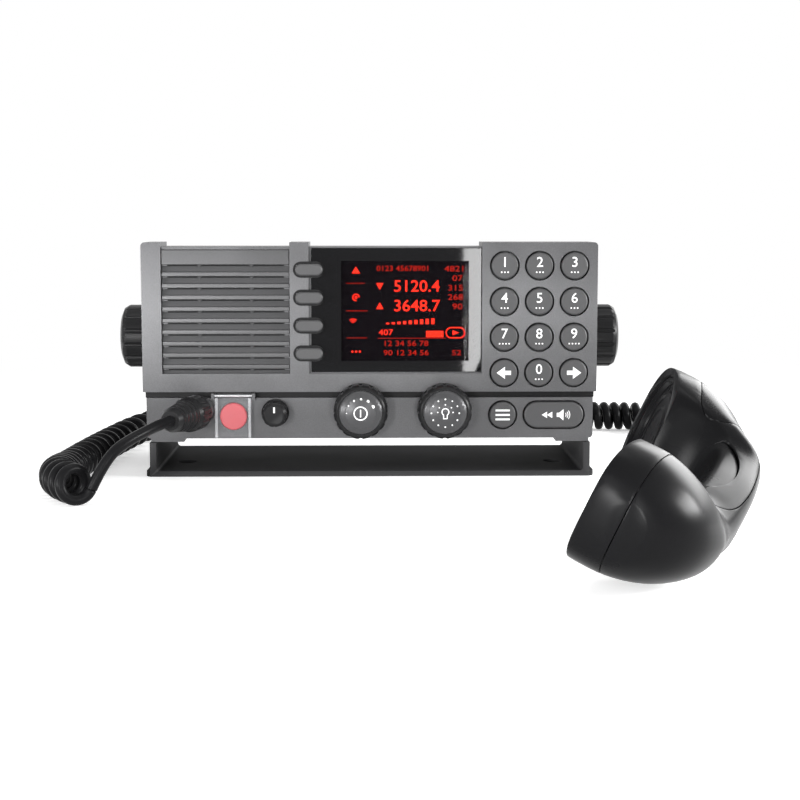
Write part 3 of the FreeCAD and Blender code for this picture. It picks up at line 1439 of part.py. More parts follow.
def handset_works():
    """What the shells hold: the two capsules, the talk lever on its pin, its switch and the strain relief."""
    floor = size("face_depth") + size("shell_wall") + 0.2
    hand_piece("handset_earpiece", disc("ear", size("earpiece_width"), floor, floor + size("earpiece_height")))
    microphone = disc("mouth", size("microphone_width"), floor, floor + size("microphone_height"))
    hand_piece("handset_microphone", microphone)
    grip_in = size("back_height") - size("grip_thickness")
    start = size("talk_place")
    width = size("talk_width")
    proud = size("talk_rise")
    deep = 5.6
    end = start + size("talk_length")
    side = [
        (start, grip_in + deep), (start, grip_in - proud * 0.2), (start + 7, grip_in - proud),
        (end - 9, grip_in - proud), (end, grip_in - proud * 0.1), (end, grip_in + deep),
    ]
    outline = [Vector(x, y, -width / 2) for x, y in side + side[:1]]
    lever = Part.Face(Part.makePolygon(outline)).extrude(Vector(0, 0, width))
    edges = [e for e in lever.Edges if e.BoundBox.ZLength < 0.01 and e.BoundBox.YMax < grip_in + 1]
    lever = lever.makeFillet(2.0, edges)
    axis = Vector(start + 4, grip_in + 3.6, 0)
    bore = size("talk_pin") / 2 + size("running_gap")
    lever = lever.cut(Part.makeCylinder(bore, 2 * width, axis - Vector(0, 0, width)))
    hand_piece("talk_lever", lever)
    long_pin = width + 2 * size("talk_gap") + 2 * PIVOT_BOSS
    hand_piece("talk_pin", Part.makeCylinder(size("talk_pin") / 2, long_pin, axis - Vector(0, 0, long_pin / 2)))
    top = size("back_height") - 3.65 * size("shell_wall")
    low = grip_in + deep + size("talk_travel")
    hand_piece("talk_switch", Part.makeBox(10, top - low, 8, Vector(end - 12, low, -4)))
    wide = size("relief_width") / 2
    relief = Part.makeCone(wide, size("wire_width") / 2 + 0.8, size("relief_length") + RELIEF_SEAT)
    collar = Part.makeCylinder(wide + 1.5, RELIEF_SEAT * 0.25, Vector(0, 0, RELIEF_SEAT * -0.1))
    relief = relief.fuse(collar).removeSplitter()
    relief.Placement = relief_turn()
    hand_piece("handset_strain_relief", relief)


BUILDERS = [mounting_bracket, clamp_knobs, front_panel, speaker_grille, loudspeaker, display, keys, soft_keys,
            boards, encoders, control_knobs, distress, handset_plug, rear_case, case_fittings,
            handset_shells, handset_works, cords]


def main():
    for builder in BUILDERS:
        builder()
        doc.recompute()
    for item in doc.Objects:
        if "Invalid" in item.State or "Error" in item.State:
            raise RuntimeError(f"{item.Name} ({item.Label}) failed: {item.State}")
    os.makedirs("parts", exist_ok=True)
    for item in nodes:
        if item.Shape.isNull() or not item.Shape.isValid():
            raise RuntimeError(f"{item.Label} has no valid shape")
    for item in nodes:
        item.Shape.exportStep(f"parts/{item.Label}.step")
        print(item.Label, len(item.Shape.Solids), round(item.Shape.Volume))


main()
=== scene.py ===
"""A marine radio's control head in its bracket, with a handset on a curly cord, as a studio picture."""
import json
from math import copysign, cos, hypot, pi, radians, sin

import bmesh
import bpy
from mathutils import Matrix, Vector

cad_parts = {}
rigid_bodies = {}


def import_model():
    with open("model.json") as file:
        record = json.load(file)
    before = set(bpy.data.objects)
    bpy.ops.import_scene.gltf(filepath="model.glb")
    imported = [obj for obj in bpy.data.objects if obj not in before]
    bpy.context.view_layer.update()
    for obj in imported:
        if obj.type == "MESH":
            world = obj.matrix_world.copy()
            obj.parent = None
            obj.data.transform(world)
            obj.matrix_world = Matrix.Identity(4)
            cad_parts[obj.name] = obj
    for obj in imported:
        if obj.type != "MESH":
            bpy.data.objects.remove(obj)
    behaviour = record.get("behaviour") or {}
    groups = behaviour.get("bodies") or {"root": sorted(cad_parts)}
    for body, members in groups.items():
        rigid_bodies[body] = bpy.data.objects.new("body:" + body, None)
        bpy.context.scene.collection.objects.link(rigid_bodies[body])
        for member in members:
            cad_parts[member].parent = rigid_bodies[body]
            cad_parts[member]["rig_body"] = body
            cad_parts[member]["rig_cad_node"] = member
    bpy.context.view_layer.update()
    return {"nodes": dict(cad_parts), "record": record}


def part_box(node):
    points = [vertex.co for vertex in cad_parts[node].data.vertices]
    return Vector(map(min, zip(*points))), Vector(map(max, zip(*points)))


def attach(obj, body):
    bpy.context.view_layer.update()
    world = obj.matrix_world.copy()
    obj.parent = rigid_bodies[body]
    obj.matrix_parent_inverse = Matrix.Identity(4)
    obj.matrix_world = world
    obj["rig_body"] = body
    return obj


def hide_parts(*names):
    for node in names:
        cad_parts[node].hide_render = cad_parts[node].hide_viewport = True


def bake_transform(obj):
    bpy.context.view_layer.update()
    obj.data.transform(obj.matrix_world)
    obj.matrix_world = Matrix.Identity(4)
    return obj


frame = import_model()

bl_info = {
    "name": "Marine radio pieces",
    "version": (1, 0, 0),
    "blender": (4, 5, 0),
    "location": "View3D > Sidebar > Radio",
    "description": "Makes the radio's cords, finishes, printed keys, screen and handset",
    "category": "Add Mesh",
}

NODES = frame["nodes"]
MM = 0.001
SOFT_FACE = -36.03 * MM

# the curly cord's and the lead's routes on the floor and down to it, in millimetres
COIL_ROUTE = [
    (-140, -124, 9.25), (-145.5, -116, 9.25), (-151, -106, 9.25), (-155, -94, 9.25), (-156.5, -76, 9.25),
    (-155, -40, 9.25), (-151, 10, 9.25), (-146, 62, 9.25), (-139, 106, 9.25), (-127, 139, 9.25),
    (-102, 153, 9.25), (-50, 156, 9.25), (10, 155, 9.25), (70, 156, 9.25), (125, 155, 9.25),
    (163, 154, 9.25), (183, 149, 9.25),
    (193, 135, 9.25), (196, 112, 9.25), (195, 80, 9.25), (193, 35, 9.25), (189, -15, 9.25), (185, -58, 9.25),
    (184, -86, 10.25), (176.1, -104.7, 29.6), (167.9, -113.9, 31.6),
]
RELIEF_TIP = (164.23, -117.91, 32.48)
LEAD_ROUTE = [
    (-100.9, -78.3, 35.6), (-103.6, -88.9, 35.6), (-110.5, -102, 33.2), (-117.8, -110.8, 29.8),
    (-124.5, -116.5, 25), (-131.2, -119.4, 14.3), (-134.1, -120, 7.9),
]
# distance along the route as a share of its length, and the curls' pitch or radius there, in millimetres
PITCHES = [
    (0, 8), (0.035, 8.6), (0.094, 8.6), (0.281, 19.2), (0.34, 24), (0.562, 24), (0.603, 6.5), (0.658, 6.5),
    (0.679, 10.5), (0.75, 10.5), (0.808, 24), (1, 24),
]
RADII = [(0, 7.5), (0.041, 7.5), (0.076, 6.5), (0.965, 6.5), (1, 0.4)]
FIRST_CURL = radians(-18)
CURL_POINTS = 16

# the handset's stations: place along it, face and back height and half width, in millimetres, then how
# full its back's lower half, its back's upper half and its face are
HAND_ROWS = [
    (-95.5, 5, 18, 9, 2.0, 2.0, 2.4), (-92.5, -8, 25, 16, 2.0, 1.95, 2.7),
    (-86, -15, 33, 21.3, 2.05, 1.9, 3.0), (-78, -17, 39, 24.1, 2.1, 1.85, 3.2),
    (-69, -17, 43, 25.0, 2.2, 1.75, 3.3), (-58, -14, 46, 24.2, 2.3, 1.65, 3.1),
    (-50, -2, 46.5, 18.6, 2.3, 1.6, 2.8), (-44, 12, 47, 12.0, 2.8, 2.0, 2.8),
    (-37, 22.5, 47.6, 10.8, 3.4, 2.2, 2.8), (-24, 26.5, 49, 12.6, 4.2, 2.8, 3.2),
    (0, 28, 50.4, 15.8, 4.6, 4.6, 3.2), (28, 27, 50.6, 19.2, 3.8, 3.8, 3.2),
    (38, 18, 49.5, 23.6, 2.9, 2.9, 2.8), (46, -3, 48, 27.6, 2.4, 2.4, 3.0),
    (58, -17, 45, 30.8, 2.15, 2.15, 3.4), (71, -18, 41, 31.6, 2.05, 2.05, 3.6),
    (84, -18, 35, 29.4, 2.0, 2.0, 3.4), (94, -17, 28, 24.6, 2.0, 2.0, 3.0),
    (101, -13, 20, 17, 2.0, 2.0, 2.6), (104, -3, 13, 9, 2.0, 2.0, 2.4),
]
# the line on which the shells part, seen from the side
HAND_SEAM = [
    (-125, 6.5), (-96, 8.8), (-69, 11.8), (-58, 14.0), (-50, 20), (-44, 31), (-38, 39.5), (-28, 44.5),
    (-14, 47), (0, 47.8), (24, 47.6), (38, 45.6), (48, 41.5), (52, 37), (48, 33), (43, 28.5), (40.5, 23),
    (41.5, 17.5), (46, 13.5), (54, 11.5), (71, 9), (100, 6), (125, 4),
]
SEAM_STEPS = 5
SEAM_GAP = 0.22
# the talk lever's side: middle, base, half length and height of its bow, and the gap and room round it
TALK_BOW = (4, 29, 29, 10.5)
TALK_GAP = 0.35
TALK_ROOM = 5.5
SHELL_WALL = 1.0
CORE_WALL = 1.2
# the screen's window in the glass, in metres
SCREEN_ACROSS = (-0.0152, 0.0524)
SCREEN_UP = (0.0620, 0.1149)
# the screen's plain numbers: place, cap height and width, then its bars: place, width and height
SCREEN_TEXT = [
    ("0123 45678901", 17.6, 110.8, 2.9, 1.12, "dim"), ("5120.4", 24.8, 101.3, 6.2, 1.06, "lit"),
    ("3648.7", 24.8, 90.9, 6.2, 1.06, "lit"), ("407", 8.4, 76.9, 3.2, 1.15, "lit"),
    ("12 34 56 78", 19.0, 71.0, 2.9, 1.25, "dim"), ("90 12 34 56", 19.2, 66.0, 2.9, 1.25, "dim"),
    ("4821", 45.0, 110.6, 3.1, 1.3, "dim"), ("07", 46.4, 105.6, 3.1, 1.3, "dim"),
    ("315", 45.4, 100.5, 3.1, 1.3, "dim"), ("268", 45.4, 95.6, 3.1, 1.3, "dim"),
    ("90", 46.4, 90.6, 3.1, 1.3, "dim"), ("52", 46.0, 66.0, 2.9, 1.3, "dim"),
]
SCREEN_BARS = [
    (34.4, 76.1, 9.2, 3.4, "lit"), (22.2, 73.9, 36.0, 0.25, "dim"), (-7.6, 103.1, 9.8, 0.25, "dim"),
    (-7.0, 88.5, 11.2, 0.3, "dim"), (-7.0, 74.1, 10.8, 0.25, "dim"),
]
# the grille's first slot, the slots' pitch and height, and the places of the nibs across it, in metres
GRILLE_TOP = 0.1111
GRILLE_PITCH = 0.00613
GRILLE_SLOTS = 10
GRILLE_OPEN = 0.0037
GRILLE_RIBS = (-0.0900, -0.0625)
# the dark bar painted in the groove over the lower strip as its shade: width, height, place up and back, and
# depth, in millimetres
GROOVE_SHADE = (239.2, 3.5, 44.0, -31.4, 1.6)
# the dark rings painted round the soft keys as the shade in their gaps: width, height and line, in
# millimetres
SOFT_KEY_SHADE = (16.4, 8.6, 2.0)
# how far a knob cap's dome has fallen back, by the distance from its middle, in millimetres
CAP_FALL = [(0, 0.0), (4.1, 0.2), (7.75, 0.88), (10.2, 2.1)]
# the height about which the front looks crowned, and the crown's radius, in metres
CROWN = (0.078, 0.40)
HAND_STEPS = 4
HAND_SIDES = 64
HAND_PLACE = (108, -234, 36.7)
HAND_TURN = (73.5, -2.6, -154.5)
# the cups: place along the handset, lean of the face, radius, and how far the face stands out
EAR = (-69, 10, 23.8, 0.8)
MOUTH = (71, -14, 31.8, 3.6)
# how wide a cup's rim is, how deep its recess goes, and how far under its face the dark core starts
CUP_RIM = 4.0
CUP_DEPTH = 3.6
CORE_DEPTH = 6.0
# the rings of the plate in a cup: share of its radius, and how far under the cup's face, in millimetres
CUP_RINGS = [
    (0, 3.0), (0.42, 3.0), (0.44, 2.5), (0.47, 2.5), (0.49, 3.1), (0.68, 3.2), (0.70, 2.2), (0.74, 2.2),
    (0.76, 3.2), (0.90, 3.2), (0.92, 1.4), (0.97, 1.0), (1, 1.4), (1, 4.4), (0, 4.4),
]
# the strain relief: where its axis starts and the axis's lean, then its hole's radius and depth
RELIEF = (98.7, 8.18, 28)
RELIEF_BORE = 5.6
RELIEF_DEPTH = 24.0
# the camera: its place, how far it looks down and aside in degrees, and its lens
VIEW_PLACE = (0.0007, -0.897, 0.1384)
VIEW_DOWN = 6.44
VIEW_ASIDE = 1.01
VIEW_LENS = 73.3
# how strongly the room and the pale floor shine, and where the floor's shadow runs out, in metres
ROOM_LEVEL = 0.38
FLOOR_LEVEL = 0.42
SHADOW_ENDS = (0.26, 0.75)


def colour(name, description, default):
    """A setting for a colour."""
    return bpy.props.FloatVectorProperty(name=name, description=description, default=default, subtype="COLOR")


def amount(name, description, default, unit):
    """A setting for a length or a power."""
    return bpy.props.FloatProperty(name=name, description=description, default=default, unit=unit)


class CordSizes(bpy.types.PropertyGroup):
    """The cords' sizes."""
    wire: amount("Wire width", "Outer width of the cord's wire", 5.5 * MM, "LENGTH")
    curly_length: amount("Curly length", "Length of the wire in the curly cord", 2.6, "LENGTH")
    lead_length: amount("Lead length", "Length of the straight lead from the plug", 0.062, "LENGTH")


class Finishes(bpy.types.PropertyGroup):
    """The colours of the radio's pieces."""
    panel: colour("Panel", "Metallic paint of the front panel", (0.09, 0.09, 0.093))
    # the slats are the front panel's paint, given a darker tone as painted shade of the recessed grille
    slats: colour("Grille", "Slats in front of the loudspeaker", (0.068, 0.068, 0.070))
    keys: colour("Keys", "Moulded faces of the keys", (0.046, 0.046, 0.0475))
    knobs: colour("Knobs", "Knobs, clamp knobs and plug", (0.010, 0.010, 0.0105))
    bracket: colour("Bracket", "Powder coat of the bracket", (0.028, 0.028, 0.029))
    handset: colour("Handset", "Moulded shells of the handset", (0.005, 0.005, 0.0054))
    cord: colour("Cord", "Rubber of the cords", (0.006, 0.006, 0.0065))
    lit: colour("Screen light", "Lit marks of the screen", (0.78, 0.022, 0.010))
    button: colour("Distress button", "Red of the distress button", (0.58, 0.020, 0.036))


class StageLight(bpy.types.PropertyGroup):
    """The studio."""
    key_power: amount("Key light", "Power of the large light in front", 1.5, "POWER")
    side_power: amount("Side light", "Power of the low light at the left", 4.4, "POWER")
    rim_power: amount("Rim light", "Power of the lights beside and behind the handset", 14.0, "POWER")
    top_power: amount("Top light", "Power of the narrow light overhead", 1.2, "POWER")
    card_power: amount("Card", "Power of the small card that the glass mirrors", 0.9, "POWER")
    floor: colour("Floor", "Colour of the floor", (0.9, 0.9, 0.9))


# selection and shaping


def deselect():
    """Leaves edit mode and selects nothing."""
    if bpy.context.mode != "OBJECT":
        bpy.ops.object.mode_set(mode="OBJECT")
    bpy.ops.object.select_all(action="DESELECT")


def pick(*pieces):
    """Selects pieces alone; the first is the active one."""
    deselect()
    for piece in pieces:
        piece.select_set(True)
    bpy.context.view_layer.objects.active = pieces[0]


def apply_all(piece):
    """Applies a piece's modifiers in their order."""
    pick(piece)
    for modifier in list(piece.modifiers):
        bpy.ops.object.modifier_apply(modifier=modifier.name)


def rest_place(piece):
    """Puts a piece's place, turn and size into its mesh."""
    pick(piece)
    bpy.ops.object.transform_apply(location=True, rotation=True, scale=True)


def soften_edges(piece, width, segments=2, angle=35):
    """Rounds the edges that are sharper than an angle."""
    bevel = piece.modifiers.new("edges", "BEVEL")
    bevel.width = width
    bevel.segments = segments
    bevel.limit_method = "ANGLE"
    bevel.angle_limit = radians(angle)
    bevel.use_clamp_overlap = True
    bevel.miter_outer = "MITER_ARC"
    apply_all(piece)


def shade(piece, angle=32, flat_first=False):
    """Smooths a piece up to an angle; with flat faces first, its flats stay flat beside rounded edges."""
    pick(piece)
    bpy.ops.object.shade_smooth_by_angle(angle=radians(angle))
    if flat_first:
        weighted = piece.modifiers.new("shading", "WEIGHTED_NORMAL")
        weighted.keep_sharp = True
        apply_all(piece)


def paint(piece, kind):
    """Gives a piece one of the named materials alone."""
    piece.data.materials.clear()
    piece.data.materials.append(MATERIALS[kind])


def linked(name, data):
    """A new object in the scene that holds this data."""
    item = bpy.data.objects.new(name, data)
    bpy.context.scene.collection.objects.link(item)
    return item


def whole_mesh(piece, step, **settings):
    """Runs an edit mode step on all of a piece's mesh."""
    pick(piece)
    bpy.ops.object.mode_set(mode="EDIT")
    bpy.ops.mesh.select_all(action="SELECT")
    step(**settings)
    bpy.ops.object.mode_set(mode="OBJECT")


def finished(piece, body, kind):
    """Gives a piece its material and the body that it rides on."""
    paint(piece, kind)
    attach(piece, body)


def body_of(node):
    """The body that carries a CAD node."""
    bodies = frame["record"]["behaviour"]["bodies"]
    return next(name for name, members in bodies.items() if node in members)


def merged_copy(node, name):
    """A copy of a CAD node, merged into one closed skin."""
    source = NODES[node]
    pick(source)
    bpy.ops.object.duplicate()
    piece = bpy.context.view_layer.objects.active
    piece.parent = None
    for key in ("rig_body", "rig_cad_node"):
        if key in piece:
            del piece[key]
    piece.name = name
    piece.data.name = name
    piece.data.materials.clear()
    whole_mesh(piece, bpy.ops.mesh.remove_doubles, threshold=0.004 * MM)
    return piece


def dress(node, kind, bevel=0.0, angle=32, segments=2):
    """Stands a smooth, softly edged copy in a CAD node's place. The flat faces are made whole first."""
    piece = merged_copy(node, "skin_" + node)
    if bevel:
        whole_mesh(piece, bpy.ops.mesh.dissolve_limited, angle_limit=radians(0.6))
        soften_edges(piece, bevel, segments)
    shade(piece, angle, bool(bevel))
    finished(piece, body_of(node), kind)
    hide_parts(node)
    return piece


def join(piece, *others):
    """Joins pieces into the first one. Their materials stay."""
    pick(piece, *others)
    bpy.ops.object.join()
    return piece


def formed(shape, name):
    """Turns a form into a piece, its faces outward."""
    bmesh.ops.recalc_face_normals(shape, faces=shape.faces)
    mesh = bpy.data.meshes.new(name)
    shape.to_mesh(mesh)
    shape.free()
    return linked(name, mesh)


def plate(corners, faces):
    """A closed mesh from its corners and faces, with its faces turned outward."""
    mesh = bpy.data.meshes.new("mark")
    mesh.from_pydata(corners, [], faces)
    piece = linked("mark", mesh)
    whole_mesh(piece, bpy.ops.mesh.normals_make_consistent, inside=False)
    return piece


def slab(front, back):
    """A closed form between two outlines with as many corners."""
    count = len(front)
    sides = [(k, (k + 1) % count, count + (k + 1) % count, count + k) for k in range(count)]
    return plate(front + back, [tuple(range(count))[::-1], tuple(range(count, 2 * count))] + sides)


def lathe(name, profile, sides):
    """A turned form about local Z, from (radius, height) corners in millimetres that start and end on it."""
    shape = bmesh.new()
    rows = []
    turns = [2 * pi * k / sides for k in range(sides)]
    for radius, height in profile:
        if radius == 0:
            rows.append([shape.verts.new((0, 0, height * MM))])
            continue
        corners = [Vector((radius * cos(turn), radius * sin(turn), height)) * MM for turn in turns]
        rows.append([shape.verts.new(corner) for corner in corners])
    for a, b in zip(rows, rows[1:]):
        for k in range(sides):
            n = (k + 1) % sides
            if len(a) == 1:
                shape.faces.new((a[0], b[n], b[k]))
            elif len(b) == 1:
                shape.faces.new((a[k], a[n], b[0]))
            else:
                shape.faces.new((a[k], a[n], b[n], b[k]))
    return formed(shape, name)


def eased(stations, steps):
    """Stations with more between them, on a smooth line through all."""
    found = []
    last = len(stations) - 1
    for k in range(last):
        four = [stations[min(max(k + n, 0), last)] for n in (-1, 0, 1, 2)]
        for step in range(steps):
            t = step / steps
            found.append([
                0.5 * (2 * b + (c - a) * t + (2 * a - 5 * b + 4 * c - d) * t * t
                       + (3 * b - a - 3 * c + d) * t ** 3)
                for a, b, c, d in zip(*four)])
    found.append(list(stations[-1]))
    return found


def between(stations, share):
    """The value at a place among (place, value) stations."""
    for (low, first), (high, second) in zip(stations, stations[1:]):
        if share <= high:
            return first + (second - first) * max(0.0, (share - low) / (high - low))
    return stations[-1][1]


# finishes


def reckon(tree, operation, *values):
    """A sum of sockets and numbers; gives its result's socket."""
    node = tree.nodes.new("ShaderNodeMath")
    node.operation = operation
    for socket, value in zip(node.inputs, values):
        if isinstance(value, (int, float)):
            socket.default_value = value
        else:
            tree.links.new(value, socket)
    return node.outputs[0]


def spread(tree, value, low, high):
    """Stretches a value from 0 to 1 over a range."""
    node = tree.nodes.new("ShaderNodeMapRange")
    node.inputs["To Min"].default_value = low
    node.inputs["To Max"].default_value = high
    tree.links.new(value, node.inputs["Value"])
    return node.outputs["Result"]


def noise(tree, place, scale, detail):
    """An even noise over the piece."""
    node = tree.nodes.new("ShaderNodeTexNoise")
    node.inputs["Scale"].default_value = scale
    node.inputs["Detail"].default_value = detail
    tree.links.new(place, node.inputs["Vector"])
    return node.outputs["Fac"]


def ramp(tree, value, low, high):
    """A colour ramp between two places."""
    node = tree.nodes.new("ShaderNodeValToRGB")
    node.color_ramp.elements[0].position = low
    node.color_ramp.elements[1].position = high
    tree.links.new(value, node.inputs["Fac"])
    return node


def finish(name, colour, rough, metallic=0.0, grain=900.0, bump=0.02, mottle=0.08, rough_spread=0.06,
           wear_and_edge_highlight=0.0, shine=0.5):
    """A moulded, painted or coated surface: fine grain, uneven tone and gloss, and lighter edges that are
    partly rubbed wear and partly a painted highlight.
    """
    material = bpy.data.materials.new(name)
    material.use_nodes = True
    tree = material.node_tree
    links = tree.links
    shader = tree.nodes["Principled BSDF"]
    place = tree.nodes.new("ShaderNodeTexCoord").outputs["Object"]
    fine = noise(tree, place, grain, 3.0)
    broad = noise(tree, place, 38.0, 5.0)
    tone = ramp(tree, reckon(tree, "MULTIPLY_ADD", fine, 0.5, reckon(tree, "MULTIPLY", broad, 0.5)), 0.3, 0.7)
    tone.color_ramp.elements[0].color = [c * (1 - mottle) for c in colour] + [1]
    tone.color_ramp.elements[1].color = [min(1, c * (1 + mottle)) for c in colour] + [1]
    last = tone.outputs["Color"]
    # lighter sharp edges: partly rubbed wear, partly a painted highlight where the edges catch the light
    if wear_and_edge_highlight:
        edge = ramp(tree, tree.nodes.new("ShaderNodeNewGeometry").outputs["Pointiness"], 0.53, 0.62)
        worn_and_highlit = tree.nodes.new("ShaderNodeMix")
        worn_and_highlit.data_type = "RGBA"
        links.new(reckon(tree, "MULTIPLY", edge.outputs["Color"], wear_and_edge_highlight), worn_and_highlit.inputs["Factor"])
        links.new(last, worn_and_highlit.inputs["A"])
        worn_and_highlit.inputs["B"].default_value = [min(1, c * 1.8 + 0.05) for c in colour] + [1]
        last = worn_and_highlit.outputs["Result"]
    links.new(last, shader.inputs["Base Color"])
    gloss = spread(tree, broad, max(0.02, rough - rough_spread), min(1.0, rough + rough_spread))
    links.new(gloss, shader.inputs["Roughness"])
    relief = tree.nodes.new("ShaderNodeBump")
    relief.inputs["Strength"].default_value = 0.6
    relief.inputs["Distance"].default_value = bump * MM
    links.new(fine, relief.inputs["Height"])
    links.new(relief.outputs["Normal"], shader.inputs["Normal"])
    shader.inputs["Metallic"].default_value = metallic
    shader.inputs["Specular IOR Level"].default_value = shine
    return material


def glow(name, colour, strength):
    """A lit mark on the screen, a little uneven as a backlight is."""
    material = finish(name, colour, 0.5, bump=0.0, mottle=0.12, shine=0.0)
    shader = material.node_tree.nodes["Principled BSDF"]
    tone = material.node_tree.nodes["Color Ramp"]
    material.node_tree.links.new(tone.outputs["Color"], shader.inputs["Emission Color"])
    shader.inputs["Emission Strength"].default_value = strength
    return material


def clear(name, colour, alpha, rough=0.05, shine=0.5):
    """A clear sheet that mirrors the room and lets what lies behind it through."""
    material = finish(name, colour, rough, bump=0.0, mottle=0.03, rough_spread=0.02, shine=shine)
    material.node_tree.nodes["Principled BSDF"].inputs["Alpha"].default_value = alpha
    return material


def axes_of(tree):
    """A surface point's place along X, Y and Z."""
    split = tree.nodes.new("ShaderNodeSeparateXYZ")
    tree.links.new(tree.nodes["Texture Coordinate"].outputs["Object"], split.inputs[0])
    return split.outputs


def crowned(material, middle, radius):
    """Makes an upright face look gently crowned about a height, as the moulded front is."""
    tree = material.node_tree
    off = reckon(tree, "SUBTRACT", axes_of(tree)["Z"], middle)
    fall = reckon(tree, "MULTIPLY", reckon(tree, "MULTIPLY", off, off), -0.5 / radius)
    crown = tree.nodes.new("ShaderNodeBump")
    crown.inputs["Strength"].default_value = 1.0
    crown.inputs["Distance"].default_value = 1.0
    tree.links.new(fall, crown.inputs["Height"])
    tree.links.new(crown.outputs["Normal"], tree.nodes["Bump"].inputs["Normal"])
    return material


def windowed(material, across, up, open_alpha, shut_alpha):
    """Leaves a sheet clear inside a window of its front and printed black round it."""
    tree = material.node_tree
    axes = axes_of(tree)
    inside = [reckon(tree, "COMPARE", axes[axis], (low + high) / 2, (high - low) / 2)
              for axis, (low, high) in (("X", across), ("Z", up))]
    alpha = spread(tree, reckon(tree, "MULTIPLY", *inside), shut_alpha, open_alpha)
    tree.links.new(alpha, tree.nodes["Principled BSDF"].inputs["Alpha"])
    return material


MATERIALS = {}


def make_materials():
    """The finishes, by the names that the pieces use."""
    colours = bpy.context.scene.radio_finishes
    MATERIALS.update(
        panel=crowned(
            finish("panel paint", colours.panel, 0.40, 0.6, 1700, 0.012, 0.22, 0.04, shine=0.25), *CROWN),
        # the slats: the front panel's paint, given a darker tone as painted shade of the recessed grille
        slats=crowned(
            finish("grille slats", colours.slats, 0.36, 0.6, 1700, 0.010, 0.12, shine=0.3), *CROWN),
        blades=finish("grille blades", (0.05, 0.05, 0.052), 0.6, 0.2, 1400, 0.012, 0.08, shine=0.3),
        keys=finish("key faces", colours.keys, 0.5, 0.0, 1600, 0.012, 0.06, shine=0.35),
        # black moulding for the dark parts, also used for the painted shade in the panel's groove, round the
        # soft keys and in the grille's slits
        dark=finish("black moulding and painted shade", (0.006, 0.006, 0.0065), 0.5, 0.0, 900, 0.01, 0.05, shine=0.15),
        knobs=finish("knob moulding", colours.knobs, 0.32, 0.0, 1100, 0.01, 0.08, wear_and_edge_highlight=0.3, shine=0.10),
        caps=finish("knob caps", (0.05, 0.05, 0.052), 0.34, 0.3, 1100, 0.01, 0.06, shine=0.25),
        # the bracket's lighter edges are partly a painted highlight on its lit front lip
        bracket=finish(
            "bracket powder coat", colours.bracket, 0.6, 0.0, 1000, 0.03, 0.10, wear_and_edge_highlight=0.5, shine=0.01),
        case=finish("case paint", (0.05, 0.05, 0.055), 0.5, 0.3, 1200, 0.02, 0.08, wear_and_edge_highlight=0.3),
        handset=finish("handset moulding", colours.handset, 0.28, 0.0, 1500, 0.006, 0.06, 0.04, shine=0.05),
        cord=finish("cord rubber", colours.cord, 0.33, 0.0, 700, 0.01, 0.08, shine=0.06),
        rubber=finish("soft rubber", (0.02, 0.02, 0.02), 0.7, 0.0, 900, 0.02, 0.08),
        steel=finish("bare steel", (0.55, 0.55, 0.56), 0.3, 1.0, 600, 0.01, 0.05),
        brass=finish("brass", (0.66, 0.46, 0.2), 0.32, 1.0, 600, 0.01, 0.06),
        board=finish("circuit board", (0.02, 0.11, 0.05), 0.45, 0.0, 600, 0.02, 0.12),
        cone=finish("pressed paper", (0.04, 0.04, 0.04), 0.85, 0.0, 500, 0.08, 0.12),
        white=finish("white print", (0.8, 0.8, 0.8), 0.5, 0.0, 700, 0.004, 0.04),
        glass=windowed(
            clear("screen glass", (0.003, 0.003, 0.0035), 0.3, 0.03, 0.17),
            SCREEN_ACROSS, SCREEN_UP, 0.08, 0.97),
        cover=clear("clear cover", (0.45, 0.46, 0.48), 0.08, 0.08, 0.3),
        # the cover's side flanges: the clear cover's plastic made paler and less clear, as a painted
        # highlight
        cover_edge=clear("clear cover edge", (0.6, 0.61, 0.63), 0.35, 0.1),
        module=finish("dark screen", (0.004, 0.003, 0.004), 0.35, 0.0, 900, 0.0, 0.1, shine=0.0),
        lit=glow("lit marks", colours.lit, 1.0),
        dim=glow("dim marks", [c * 0.35 for c in colours.lit], 1.0),
        button=finish("button red", colours.button, 0.4, 0.0, 900, 0.01, 0.05),
    )


# cords


def nurbs(name, points):
    """A smooth line with these control points, as a curve object."""
    curve = bpy.data.curves.new(name, "CURVE")
    curve.dimensions = "3D"
    spline = curve.splines.new("NURBS")
    spline.points.add(len(points) - 1)
    for item, point in zip(spline.points, points):
        item.co = (*point, 1)
    spline.order_u = 3
    spline.use_endpoint_u = True
    curve.resolution_u = 12
    return linked(name, curve)


def line_of(piece):
    """The points that a curve without a bevel runs through, and the distance to each."""
    bpy.context.view_layer.update()
    mesh = bpy.data.meshes.new_from_object(piece.evaluated_get(bpy.context.evaluated_depsgraph_get()))
    points = [v.co.copy() for v in mesh.vertices]
    bpy.data.meshes.remove(mesh)
    reached = [0.0]
    for a, b in zip(points, points[1:]):
        reached.append(reached[-1] + (b - a).length)
    return points, reached


def along(points, reached, distance):
    """The place at a distance along a line."""
    distance = min(max(distance, 0.0), reached[-1])
    for k in range(1, len(reached)):
        if reached[k] >= distance:
            share = (distance - reached[k - 1]) / max(reached[k] - reached[k - 1], 1e-9)
            return points[k - 1].lerp(points[k], share)
    return points[-1]


def cord_tube(piece, sides, steps):
    """Turns a line into a mesh tube of the wire's width."""
    curve = piece.data
    curve.bevel_depth = bpy.context.scene.radio_cords.wire / 2
    curve.bevel_resolution = sides
    curve.resolution_u = steps
    curve.use_fill_caps = True
    pick(piece)
    bpy.ops.object.convert(target="MESH")
    bpy.ops.object.shade_smooth()
    return bpy.context.view_layer.objects.active


